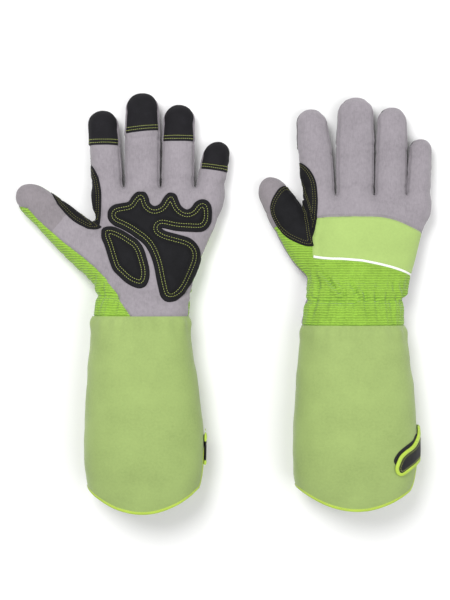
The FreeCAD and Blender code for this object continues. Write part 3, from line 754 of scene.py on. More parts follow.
def suede(name, c):
    m = Nodes(name)
    big, mid, fine = m.noise(26, 3), m.noise(3.2, 4, 0.65), m.noise(0.5, 2, 0.7)
    nap = m.noise(1, 2, 0.6, stretch=(1.1, 4.5, 1.6))
    f = m.math("ADD", m.math("MULTIPLY", big, 0.35), m.math("ADD", m.math("MULTIPLY", mid, 0.35), m.math("MULTIPLY", nap, 0.3)))
    col = m.ramp(f, [(0.33, shade(c, 0.78)), (0.5, c), (0.68, shade(c, 1.19))])
    m.colour(m.mix(m.math("MULTIPLY", fine, 0.16), col, shade(c, 1.5)))
    m.bump(m.math("ADD", m.math("MULTIPLY", fine, 0.6), m.math("MULTIPLY", mid, 0.8)), 0.55, 0.35)
    m.set(Roughness=0.93, Sheen_Weight=0.35, Sheen_Roughness=0.5, Specular_IOR_Level=0.18)
    return m.m


def knit(name, c, pitch=2.3):
    m = Nodes(name)
    rows = m.wave(pitch, "Y", 0.9, 1.6)
    cells = m.voronoi(1, stretch=(2.1, 2.3, 2.1), feature="SMOOTH_F1")
    fine = m.noise(0.45, 2, 0.7)
    big = m.noise(18, 3)
    h = m.math("ADD", m.math("MULTIPLY", rows, 0.75), m.math("MULTIPLY", cells, -0.55))
    h = m.math("ADD", h, m.math("MULTIPLY", fine, 0.25))
    col = m.ramp(m.math("ADD", m.math("MULTIPLY", rows, 0.45), m.math("MULTIPLY", big, 0.55)), [(0.18, shade(c, 0.66)), (0.5, c), (0.85, shade(c, 1.22))])
    m.colour(m.mix(m.math("MULTIPLY", cells, 0.55), col, shade(c, 0.6)))
    m.bump(h, 1.0, 0.95)
    m.set(Roughness=0.8, Sheen_Weight=0.25, Sheen_Roughness=0.4, Specular_IOR_Level=0.25)
    return m.m


def woven(name, c, pitch=0.95, contrast=0.9):
    m = Nodes(name)
    a = m.wave(pitch, "Y", 0.5, 3.0)
    b = m.wave(pitch * 0.95, "X", 0.5, 3.0)
    fine, big, mid = m.noise(0.6, 2, 0.7), m.noise(34, 3), m.noise(2.2, 3, 0.7)
    h = m.math("ADD", m.math("MULTIPLY", a, 0.4), m.math("MULTIPLY", b, 0.35))
    h = m.math("ADD", h, m.math("MULTIPLY", fine, 0.35))
    f = m.math("ADD", m.math("MULTIPLY", big, 0.45), m.math("ADD", m.math("MULTIPLY", mid, 0.35), m.math("MULTIPLY", h, 0.2)))
    m.colour(m.ramp(f, [(0.3, shade(c, 1 - 0.2 * contrast)), (0.5, c), (0.7, shade(c, 1 + 0.16 * contrast))]))
    m.bump(h, 0.6, 0.3)
    m.set(Roughness=0.86, Sheen_Weight=0.3, Sheen_Roughness=0.45, Specular_IOR_Level=0.2)
    return m.m


def patch(name, c):
    m = Nodes(name)
    grain, fine, big = m.voronoi(0.9, feature="SMOOTH_F1"), m.noise(0.5, 3, 0.7), m.noise(9, 3)
    f = m.math("ADD", m.math("MULTIPLY", big, 0.45), m.math("MULTIPLY", fine, 0.55))
    m.colour(m.ramp(f, [(0.3, shade(c, 0.6)), (0.55, c), (0.78, shade(c, 2.1))]))
    m.bump(m.math("ADD", m.math("MULTIPLY", grain, 0.7), m.math("MULTIPLY", fine, 0.5)), 0.7, 0.32)
    m.set(Roughness=0.78, Sheen_Weight=0.05, Sheen_Roughness=0.4, Specular_IOR_Level=0.2)
    return m.m


def tape(name, c, rough=0.55):
    m = Nodes(name)
    rib, fine, big = m.wave(0.8, "DIAGONAL", 0.4, 2.0), m.noise(0.5, 2, 0.7), m.noise(12, 2)
    f = m.math("ADD", m.math("MULTIPLY", rib, 0.35), m.math("MULTIPLY", big, 0.65))
    m.colour(m.ramp(f, [(0.25, shade(c, 0.8)), (0.55, c), (0.85, shade(c, 1.15))]))
    m.bump(m.math("ADD", rib, m.math("MULTIPLY", fine, 0.5)), 0.45, 0.22)
    m.set(Roughness=rough, Specular_IOR_Level=0.3, Sheen_Weight=0.1)
    return m.m


def thread(name, c):
    m = Nodes(name)
    f, g = m.noise(0.35, 2, 0.7), m.noise(5, 2)
    m.colour(m.ramp(m.math("ADD", m.math("MULTIPLY", f, 0.6), m.math("MULTIPLY", g, 0.4)), [(0.3, shade(c, 0.75)), (0.7, shade(c, 1.15))]))
    m.bump(f, 0.3, 0.1)
    m.set(Roughness=0.55, Specular_IOR_Level=0.35)
    return m.m


def hooks(name, c):
    m = Nodes(name)
    v, f = m.voronoi(0.8), m.noise(0.4, 3, 0.8)
    m.colour(m.ramp(m.math("ADD", m.math("MULTIPLY", v, 0.6), m.math("MULTIPLY", f, 0.4)), [(0.2, shade(c, 0.6)), (0.5, c), (0.8, shade(c, 2.4))]))
    m.bump(m.math("ADD", v, f), 0.9, 0.5)
    m.set(Roughness=0.85, Specular_IOR_Level=0.25, Sheen_Weight=0.1)
    return m.m


MATS["suede"] = suede("suede_grey", srgb(143, 137, 143))
MATS["suede_thumb"] = suede("suede_grey_thumb", srgb(132, 126, 130))
MATS["lime"] = knit("lime_knit", srgb(152, 197, 70))
MATS["cuff"] = woven("cuff_cloth", srgb(149, 170, 102))
MATS["band"] = woven("band_cloth", srgb(164, 190, 110), 1.0, 0.6)
MATS["black"] = patch("black_patch", srgb(20, 20, 23))
MATS["tip"] = patch("black_tip", srgb(25, 24, 28))
MATS["binding"] = tape("binding_tape", srgb(176, 204, 72))
MATS["piping"] = tape("piping_tape", srgb(246, 247, 244), 0.45)
MATS["thread"] = thread("thread_lime", srgb(178, 188, 104))
MATS["thread_olive"] = thread("thread_olive", srgb(116, 116, 66))
MATS["thread_grey"] = thread("thread_grey", srgb(138, 134, 139))
MATS["elastic"] = tape("elastic_tape", srgb(150, 185, 90), 0.6)
MATS["foam"] = hooks("foam_filling", srgb(92, 92, 88))
MATS["loop"] = hooks("loop_cloth", srgb(26, 26, 28))


# ------------------------------------------------------------------ one glove
PALM, BACKF, FOUR, BAND, LIME, TTIP = range(6)
PANEL = {PALM: ("palm", "suede"), BACKF: ("back", "suede"), FOUR: ("side_strips", "suede"), BAND: ("knuckle_band_cloth", "band"), LIME: ("lime", "lime"), TTIP: ("back_tip", "suede_thumb")}


def settle(V):
    """Cloth that would reach below the table rests on it."""
    V = V.copy()
    z = V[:, 2]
    V[:, 2] = np.where(z < 1.2, 0.5 * ((z - 0.05) + np.sqrt((z - 0.05) ** 2 + 0.5)) + 0.05, z)
    return V


def fields(G, H, V):
    palm, yk = G["palm"], G["yk"]
    T = G["thumb"]
    d = {}
    zm, fi = H.zmid(V)
    x, y = V[:, 0], V[:, 1]
    d["zp"] = zp = palm * (V[:, 2] - zm)
    d["fi"] = fi
    s, c = H.thumb_sc(V)
    d["s"], d["c"] = s, c
    F = [G["fingers"][n] for n in NAMES]
    ax = np.choose(fi, [f["x0"] + (f["x1"] - f["x0"]) * (y - yk) / (f["y1"] - yk) for f in F])
    y1 = np.choose(fi, [f["y1"] for f in F])
    right = x > ax
    inner = np.where(fi == 0, right, np.where(fi == 3, ~right, True))
    clim = line(G["clim"], s)
    thumb = (s > T["root"]) & (c < clim)
    d["clim"], d["thumb"], d["right"] = clim, thumb, right
    strip = 5.4 * smooth01((y - (yk - 7)) / 9) * np.clip((y1 - 2.5 - y) / 15, 0, 1) ** 0.6
    strip = np.where(inner & ~thumb, strip, 0.0)
    d["strip"] = strip
    shift = strip.copy()
    tw = smooth01((s - 8) / 16) * smooth01((10 - c) / 10) * smooth01((T["web"] + 12 - c) / 10)
    shift = shift + G["outer_seam"] * tw
    if palm > 0:
        # the little-finger side of the wrist: the back wraps round a little
        shift = shift + 6.0 * smooth01((6 - y) / 12) * (x > at(H.t, y, 1))
        p = np.array([(-206, 100), (-194.3, 88.5), (-186.4, 86.9), (-176.2, 75.1), (-162.7, 63.4), (-150.2, 53.1), (-134.4, 41.3), (-123.4, 31.8), (-111.6, 20.8), (-101.4, 7.4), (-98.3, 1.1), (-86.9, -14.7), (-80, -26), (300, -26), (300, 300), (-206, 300)], float)
        m = (x < -60) & (zp > -6)
        dp = np.full(len(V), 30.0)
        if m.any():
            dp[m] = poly_distance(V[m], p)
        d["gA"] = np.minimum(zp - shift, dp)
    else:
        d["gA"] = zp - shift
    d["gB"] = zp + strip
    d["gtop"] = y - line(G["top"], x)
    d["gpipe"] = y - line(G["pipe"], x)
    d["gx"] = x - G["xb"]
    # tip patches
    yp = np.choose(fi, [np.interp(x - ax, [-14, 14], [f["patch"][0][1], f["patch"][1][1]]) for f in F])
    zb = strip
    d["gtip"] = np.where(thumb | (y < yk + 4), -20.0, np.minimum(y - yp, zp - zb - 0.8))
    # thumb lens: angle round the thumb, 0 towards the index finger, 90 at the back
    tab = H.tt
    a, b = at(tab, s, 2), at(tab, s, 4)
    phi = np.degrees(np.arctan2(-zp / b, (c - at(tab, s, 1)) / a))
    lens = G["lens"]
    ring = [(q[0], q[1] * 0.27) for q in lens] + [(q[0], q[2] * 0.27) for q in reversed(lens)]
    near = (s > 5) & (c < clim + 4) & (y < yk + 18)
    glens = np.full(len(V), -20.0)
    if near.any():
        glens[near] = poly_distance(np.stack([s[near], phi[near] * 0.27, s[near] * 0], 1), spline(ring))
    d["glens"] = glens = np.where(near, np.minimum(glens, clim + 1.0 - c), -20.0)
    # index side patch
    back = zp < 0
    xr = np.where(back, line(G["side_back"], y), line(G["side_palm"], y))
    gs = np.minimum(np.minimum(xr - x, 137.0 - y), np.minimum(-glens, np.where((s > 0) & (s < 75), c - clim, 20.0)))
    gs = np.where((fi == 0) & ~thumb & (y > G["side_low"]), gs, -20.0)
    gs = np.where((~back) & (y < G["side_low"] + 12), -20.0, gs)
    d["gside"] = np.clip(gs, -20, 40)
    m = (zp > 1.0) & ~thumb
    for key, poly in (("gmain", G["main"]), ("gthen", G["then"])):
        v = np.full(len(V), -20.0)
        near = m & (x > poly[:, 0].min() - 9) & (x < poly[:, 0].max() + 9) & (y > poly[:, 1].min() - 9) & (y < poly[:, 1].max() + 9)
        if near.any():
            v[near] = poly_distance(V[near], poly)
        d[key] = v
    return d


def segment(G, H, P, d):
    """Which segment a place belongs to: 0 hand, 1-4 finger lower, 5-8 finger upper, 9 thumb lower, 10 thumb upper."""
    y = P[:, 1]
    out = np.zeros(len(P), int)
    cut = np.choose(d["fi"], [G["fingers"][n]["cut"] for n in NAMES])
    finger = (y > G["yk"] - 0.5) & ~d["thumb"]
    out = np.where(finger, np.where(y > cut, d["fi"] + 5, d["fi"] + 1), out)
    return np.where(d["thumb"], np.where(d["s"] > G["thumb"]["mid"], 10, 9), out)


def panel(G, d, P):
    y = P[:, 1]
    lab = np.where(d["gtop"] > 0, BACKF, np.where(d["gpipe"] > 0, BAND, LIME))
    lab = np.where((d["gx"] < 0) & (y < G["yk"] - 12), LIME, lab)
    lab = np.where(d["thumb"], np.where(d["s"] > G["thumb"]["tip_back"], TTIP, LIME), lab)
    lab = np.where((d["gB"] > 0) & (d["strip"] > 0.05) & ~d["thumb"], FOUR, lab)
    return np.where(d["gA"] > 0, PALM, lab)


def attach(o, G, seg):
    """Bakes a piece's world transform into its mesh, whatever its segment."""
    if seg == 0:
        y0 = G["ys"]
        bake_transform(o)
        return
    if seg in (9, 10):
        T = G["thumb"]
        a = math.radians(T["ang"])
        u = np.array([-math.sin(a), math.cos(a), 0])
        p0 = np.array([T["p0"][0], T["p0"][1], 17.0])
        z = T["base"] if seg == 9 else T["top"]
        s, e = (p0 + u * z[0]) * MM, (p0 + u * z[1]) * MM
        tuple(s)
        tuple(e)
        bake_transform(o)
        return
    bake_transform(o)


SEG_NAME = {0: "", 9: "thumb_lower_", 10: "thumb_upper_"}
for i, n in enumerate(NAMES):
    SEG_NAME[i + 1] = n + "_lower_"
    SEG_NAME[i + 5] = n + "_upper_"


def prepare(G):
    left = G["palm"] > 0
    d = SHIFT if left else (0, 0)
    r = (0, 0) if left else (-SHIFT[0], -SHIFT[1])
    G["top"] = smooth_line(BAND_TOP, d)
    G["pipe"] = smooth_line(PIPING_LINE, d)
    G["xb"] = 83.0 + d[0]
    G["side_back"] = smooth_line(SIDE_BACK, (d[1], d[0]))
    G["side_palm"] = smooth_line(SIDE_PALM, (r[1], r[0]))
    G["side_low"] = 50.0 + d[1]
    G["main"] = spline([(x + r[0], y + r[1]) for x, y in MAIN_PAD])
    G["then"] = spline([(x + r[0], y + r[1]) for x, y in THENAR_PAD])
    G["clim"] = [(0, 24.0), (110, 24.0)] if left else [(0, 3.0), (19, 7.2), (31, 11.7), (34, 13.0), (41, 15.7), (44.4, 17.1), (55, 19.5), (70, 23), (110, 30)]
    G["outer_seam"] = 0.0 if left else -2.5
    G["wrist_x"] = -76.7 if left else 122.8
    if not left:
        G["thumb"].update(root=33.0, base=(33.5, 52.0), mid=52.4)


def build_hand(G):
    prepare(G)
    H = Hand(G)
    tag, palm, yk, ys = G["tag"], G["palm"], G["yk"], G["ys"]
    T = G["thumb"]
    tipx = T["p0"][0] - math.sin(math.radians(T["ang"])) * T["tip"]
    F = [G["fingers"][n] for n in NAMES]
    xr = max(F[3]["x1"] + F[3]["a"][1], G["hand"][1][1] + G["hand"][1][2])
    lo = (tipx - 14, ys - 6, -4.0)
    hi = (xr + 5, F[1]["y1"] + 5, 62.0)
    V, Tri = grid_surface(H, lo, hi, (STEP * 0.85, STEP, STEP * 0.95))
    net = Net(V, Tri)
    fl = lambda: fields(G, H, net.d["V"])
    net.cut(net.d["V"][:, 1] - ys)
    net.keep(net.centres()[:, 1] > ys)
    net.cut(fl()["gA"])
    net.cut(fl()["gB"])
    for g in ("gtop", "gpipe", "gx"):
        f = fl()
        net.cut(np.where(f["zp"] < 3, f[g], 5.0))
    # articulation cuts
    net.cut(net.d["V"][:, 1] - (yk - 0.5))
    for k in range(3):
        V = net.d["V"]
        sep = H.separators(V[:, 1])[k]
        net.cut(np.where(V[:, 1] > yk - 3, V[:, 0] - sep, 9.0))
    for i, n in enumerate(NAMES):
        f = fl()
        net.cut(np.where((f["fi"] == i) & ~f["thumb"], net.d["V"][:, 1] - G["fingers"][n]["cut"], -9.0))
    f = fl()
    near = (f["c"] < f["clim"] + 6) & (f["s"] > 0)
    net.cut(np.where(near, f["s"] - T["root"], -9.0))
    f = fl()
    net.cut(np.where((f["s"] > T["root"] - 1) & (f["s"] < T["root"] + 30), f["c"] - f["clim"], 9.0))
    for s0 in (T["mid"], T["tip_back"]):
        f = fl()
        net.cut(np.where(f["thumb"] & (f["c"] < f["clim"]), f["s"] - s0, -9.0))
    # outlines of patches and pads, with the lines their profiles follow
    for key, levels in (("gtip", (0, 0.6, 1.3)), ("glens", (0, 0.6, 1.3)), ("gside", (0, 0.6, 1.3)), ("gmain", (0, 0.5, 1.2, 4.4, 7.4)), ("gthen", (0, 0.5, 1.2, 4.4, 7.4))):
        for lv in levels:
            net.cut(fl()[key] - lv, 0.1 if lv == 0 else 0.06)
    V, Tri = net.d["V"], net.T
    C = V[Tri].mean(1)
    fc = fields(G, H, C)
    fv = fields(G, H, V)
    pan = panel(G, fc, C)
    seg = segment(G, H, C, fc)
    N = H.normal(V)
    N /= np.maximum(np.linalg.norm(N, axis=1), 1e-9)[:, None]

    # relief of the cloth
    y, x, zp = V[:, 1], V[:, 0], fv["zp"]
    seams = seam_vertices(Tri, np.where(pan == TTIP, LIME, pan))
    ds = nearest(V, V[seams], 9.0)
    big = fbm(V, 30.0, 3.1 if palm > 0 else 8.7, 2)
    mid = fbm(V, 11.0, 1.7, 2)
    rel = 0.55 * big + 0.22 * mid
    rel += -1.05 * np.exp(-(ds / 1.0) ** 2) + 0.4 * np.exp(-((ds - 3.2) / 1.8) ** 2)
    onfinger = smooth01((y - yk) / 10) * (~fv["thumb"])
    # soft creases at the finger joints
    for i, n in enumerate(NAMES):
        f = G["fingers"][n]
        m = (fv["fi"] == i) & ~fv["thumb"]
        for yj, k in ((f["split"] - 1, 1.0), (yk + f["zone"][0] * 0.45, 0.7)):
            wob = 1.4 * np.sin((x + 7 * i) * 0.35)
            rel += np.where(m, -0.5 * k * np.exp(-((y - yj - wob) / 2.0) ** 2) + 0.3 * k * np.exp(-((y - yj - wob - 4.5) / 3.0) ** 2), 0)
    # thumb creases
    sv = fv["s"]
    for s0, k in ((T["top"][0] + 9, 0.5), (T["base"][0] + 8, 0.6)):
        rel += np.where(fv["thumb"], -k * np.exp(-((sv - s0 - 1.5 * np.sin(fv["c"] * 0.3)) / 2.2) ** 2), 0)
    # wrist: folds on the palm's heel, gathers held by the elastic on the back
    xc = at(H.t, y, 1)
    yel = G["y_el"]
    palmside = smooth01(fv["gA"] / 3.0)
    back = 1 - palmside
    heel = np.exp(-((y - (ys + 16)) / 13.0) ** 2)
    ph = x * 0.30 + y * 0.22
    rel += palmside * heel * (0.75 * np.sin(ph * 1.2 + 1.5 * np.sin(y * 0.13)) + 0.7 * mid)
    rel += -palmside * 1.0 * np.exp(-((y - (yel + 2.0) + 0.05 * (x - xc)) / 4.0) ** 2)
    lime = back * smooth01((line(G["pipe"], x) - y) / 5.0) * smooth01((70 - sv * 0 - y) / 10)
    dy = y - yel
    env = np.exp(-(np.abs(dy) / 22.0) ** 1.5)
    ang = (x - xc) * 0.52 + 0.9 * np.sin(dy * 0.09 + (x - xc) * 0.05) + dy * 0.035 * np.sign(x - xc)
    fold = np.sin(ang + 1.3 * fbm(V, 26.0, 5.5, 1))
    rel += lime * env * (0.9 * fold + 0.45 * np.sin(ang * 2.3 + 1.0))
    d0 = (0, 0) if palm < 0 else SHIFT
    for x0, y0, x1, y1, k in FOLDS:
        ax, ay, bx, by = x0 + d0[0], y0 + d0[1], x1 + d0[0], y1 + d0[1]
        q = np.stack([x - ax, y - ay], 1)
        e = np.array([bx - ax, by - ay])
        t = np.clip((q @ e) / (e @ e), 0, 1)
        dd = np.sqrt(((q - t[:, None] * e) ** 2).sum(1))
        fade = k * (0.35 + 0.65 * t)
        rel += back * smooth01((70 - y) / 10) * fade * (-1.7 * np.exp(-(dd / 1.5) ** 2) + 1.3 * np.exp(-((dd - 3.4) / 1.8) ** 2))
    rel += lime * (-2.3 * np.exp(-(dy / 2.6) ** 2) - 0.5 * np.exp(-((dy - 7) / 1.5) ** 2) * 0 + 1.0 * np.exp(-((dy - 9) / 6.0) ** 2) + 0.7 * np.exp(-((dy + 8) / 5.0) ** 2))
    # the skin is drawn in a little under pads and patches
    pads = np.maximum(np.maximum(fv["gmain"], fv["gthen"]), np.maximum(fv["gtip"], np.maximum(fv["glens"], fv["gside"])))
    rel -= 0.35 * smooth01((pads + 1.5) / 2.0) * (pads > -15)
    rel += 0.3 * np.exp(-((pads + 3.0) / 1.6) ** 2)
    # ease to the seam line at the cuff
    rel -= 0.9 * np.exp(-((y - ys) / 1.6) ** 2)
    W = V + N * rel[:, None]
    W = settle(W)
    NW = vertex_normals(W, Tri)
    return H, V, Tri, W, NW, N, pan, seg, fv, fc


def skin_pieces(G, H, V, Tri, W, NW, pan, seg):
    tag = G["tag"]
    made = {}
    for p in np.unique(pan):
        for s in np.unique(seg[pan == p]):
            m = (pan == p) & (seg == s)
            if m.sum() < 12:
                continue
            base, mat = PANEL[p]
            if p == PALM and s == 10:
                mat = "suede_thumb"
            v, f, used = closed_layer(W, NW, Tri[m], 0.0, -COAT)
            rest = np.concatenate([V[used], V[used]])
            name = tag + SEG_NAME[s] + base
            o = make(name, v, f, mat, rest=rest)
            attach(o, G, s)
            made[(p, s)] = o
    return made


def overlay(name, G, V, Tri, W, NW, mask, out, back, mat, seg_ids, seg):
    """A layer over the cloth where mask holds, split by segment."""
    made = {}
    for s in seg_ids:
        m = mask & (seg == s)
        if m.sum() < 8:
            continue
        v, f, used = closed_layer(W, NW, Tri[m], out, back)
        rest = np.concatenate([V[used], V[used] + 3.0])
        suffix = "_cover" if len(seg_ids) == 1 else {0: "_root", 9: "_lower", 10: "_upper"}.get(s, "_lower" if s <= 4 else "_upper")
        o = make(name + suffix, settle(v), f, mat, rest=rest)
        attach(o, G, s)
        made[s] = o
    return made


def thread_lines(name, G, V, Tri, W, NW, g, level, mask, seg, out, mat, seg_ids, pitch=2.3, **k):
    """Stitches along g = level over the layer whose height is out."""
    made = []
    for s in seg_ids:
        m = mask & (seg == s)
        if m.sum() < 8:
            continue
        top = W + NW * (out[:, None] if isinstance(out, np.ndarray) else out)
        lines = []
        for lv in (level if isinstance(level, (tuple, list)) else (level,)):
            lines += [r for r in iso_lines(settle(top), Tri[m], g, lv, (NW,))]
        v, f = stitches(lines, pitch, **k)
        if v is None:
            continue
        o = make(name + ("_%d" % s if len(seg_ids) > 1 else ""), v, f, mat)
        attach(o, G, s)
        made.append(o)
    return made


def glove_hand(G):
    H, V, Tri, W, NW, N, pan, seg, fv, fc = build_hand(G)
    tag = G["tag"]
    made = skin_pieces(G, H, V, Tri, W, NW, pan, seg)
    first = lambda keys: next(made[k] for k in keys if k in made)
    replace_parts(made[(PALM, 0)], tag + "palm_panel")
    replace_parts(made[(BACKF, 0)], tag + "back_panel")
    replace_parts(made[(BAND, 0)], tag + "knuckle_band")
    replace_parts(made[(LIME, 0)], tag + "wrist_panel")
    for i, n in enumerate(NAMES):
        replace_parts(made[(PALM, i + 1)], tag + n + "_lower_sleeve")
        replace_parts(made[(PALM, i + 5)], tag + n + "_upper_sleeve")
    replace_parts(made[(PALM, 9)], tag + "thumb_lower_sleeve")
    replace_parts(made[(PALM, 10)], tag + "thumb_upper_sleeve")

    edge = lambda g, t, r: t * np.sqrt(1 - (1 - np.clip(g / r, 0, 1)) ** 2)
    # padded patches over foam
    for key, node, label in (("gmain", "palm_pad", "palm_pad"), ("gthen", "thenar_pad", "thenar_pad")):
        g = fv[key]
        out = edge(g, 1.7, 1.2) + 2.0 * smooth01((g - 7.2) / 5.0) + 0.35 * np.exp(-((g - 5.9) / 1.0) ** 2)
        out -= 0.65 * np.exp(-((g - 4.4) / 0.7) ** 2) + 0.65 * np.exp(-((g - 7.4) / 0.7) ** 2)
        out += 0.18 * fbm(V, 7.0, 2.2, 1) * (g > 8)
        out = np.maximum(out, 0.1)
        mask = (fc[key] > 0)
        o = overlay(tag + label, G, V, Tri, W, NW, mask, out, 0.03, "black", (0,), seg)[0]
        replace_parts(o, tag + node)
        thread_lines(tag + label + "_stitches", G, V, Tri, W, NW, g, (4.4, 7.4), mask & (fc[key] > 2), seg, out, "thread", (0,))
        inner = fc[key] > 7.0
        fo = overlay(tag + label + "_foam", G, V, Tri, W, NW, inner, np.minimum(out - 1.1, 2.3 * smooth01((g - 6.8) / 4.0) + 0.3), 0.1, "foam", (0,), seg)[0]
        if key == "gmain":
            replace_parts(fo, tag + "pad_foam")
    # fingertip patches
    for i, n in enumerate(NAMES):
        g = fv["gtip"]
        m = (fc["gtip"] > 0) & (fc["fi"] == i)
        out = edge(g, 1.05, 1.2)
        out = np.maximum(out - 0.3 * np.exp(-((g - 2.4) / 0.6) ** 2), 0.08)
        segs = [i + 5] if ((seg[m] == i + 1).sum() < 12) else [i + 1, i + 5]
        o = overlay(tag + n + "_tip_patch", G, V, Tri, W, NW, m, out, 0.03, "tip", tuple(segs), seg)
        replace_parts(o[i + 5], tag + n + "_tip_patch")
        f = G["fingers"][n]
        x = V[:, 0]
        ax = f["x0"] + (f["x1"] - f["x0"]) * (V[:, 1] - G["yk"]) / (f["y1"] - G["yk"])
        gy = V[:, 1] - np.interp(x - ax, [-14, 14], [f["patch"][0][1], f["patch"][1][1]])
        for lv, nm in ((2.3, "a"), (5.0, "b")):
            thread_lines(tag + n + "_tip_stitches_" + nm, G, V, Tri, W, NW, gy, lv, m, seg, out, "thread", (i + 5,), 2.0, long=1.3)
    # saddle between thumb and index finger
    for key, label, ids, node in (("glens", "thumb_patch", (0, 9, 10), "thumb_patch"), ("gside", "index_side_patch", (0, 1, 5), "index_side_patch")):
        g = fv[key]
        m = fc[key] > 0
        out = edge(g, 1.2, 1.3) + 0.5 * smooth01((g - 6.5) / 4.0) - 0.35 * np.exp(-((g - 2.2) / 0.6) ** 2) - 0.35 * np.exp(-((g - 4.4) / 0.6) ** 2)
        out = np.maximum(out, 0.08)
        o = overlay(tag + label, G, V, Tri, W, NW, m, out, 0.03, "black", ids, seg)
        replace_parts(o[9] if 9 in o else o[max(o)], tag + node) if key == "glens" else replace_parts(o[1] if 1 in o else o[max(o)], tag + node)
        thread_lines(tag + label + "_stitches", G, V, Tri, W, NW, g, (2.2, 4.4), m, seg, out, "thread_olive", ids, 2.2, long=1.4, thick=0.24)
    # white piping over the band's lower seam
    m = (fc["zp"] < 2) & (seg == 0) & ((pan == BAND) | (pan == LIME)) & (fc["gx"] > -0.5)
    lines = iso_lines(W, Tri[m], fv["gpipe"], 0.0, (NW,))
    if lines:
        best = max(lines, key=lambda r: np.linalg.norm(np.diff(r[0], axis=0), axis=1).sum())
        r = resample(best, 1.6)
        pts, nn = r
        kk = np.hanning(13)[1:-1]
        kk /= kk.sum()
        pts, nn = (np.stack([np.convolve(np.concatenate([np.repeat(q[:1], 5, 0), q, np.repeat(q[-1:], 5, 0)])[:, c], kk, "valid") for c in range(3)], 1) for q in (pts, nn))
        v, f = sweep(pts + nn * 0.7, nn, 1.25, 1.0, 10)
        o = make(tag + "piping", v, f, "piping")
        attach(o, G, 0)
        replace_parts(o, tag + "white_piping")
    # elastic inside the wrist, seen through the cloth as a drawn-in line
    m = (seg == 0) & (fc["gA"] < 0) & (np.abs(C_y(V, Tri) - G["y_el"]) < 6.0) & ~fc["thumb"]
    v, f, used = closed_layer(W, NW, Tri[m], -COAT - 0.15, -COAT - 1.05)
    o = make(tag + "wrist_elastic_band", v, f, "elastic")
    attach(o, G, 0)
    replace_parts(o, tag + "wrist_elastic")
    # topstitching beside the band's top seam
    m = (seg == 0) & (pan == BACKF) & (fc["gside"] < -0.5)
    thread_lines(tag + "band_stitches", G, V, Tri, W, NW, fv["gtop"], 1.9, m, seg, 0.0, "thread_grey", (0,), 2.4, thick=0.2)
    return H


def C_y(V, T):
    return V[T].mean(1)[:, 1]


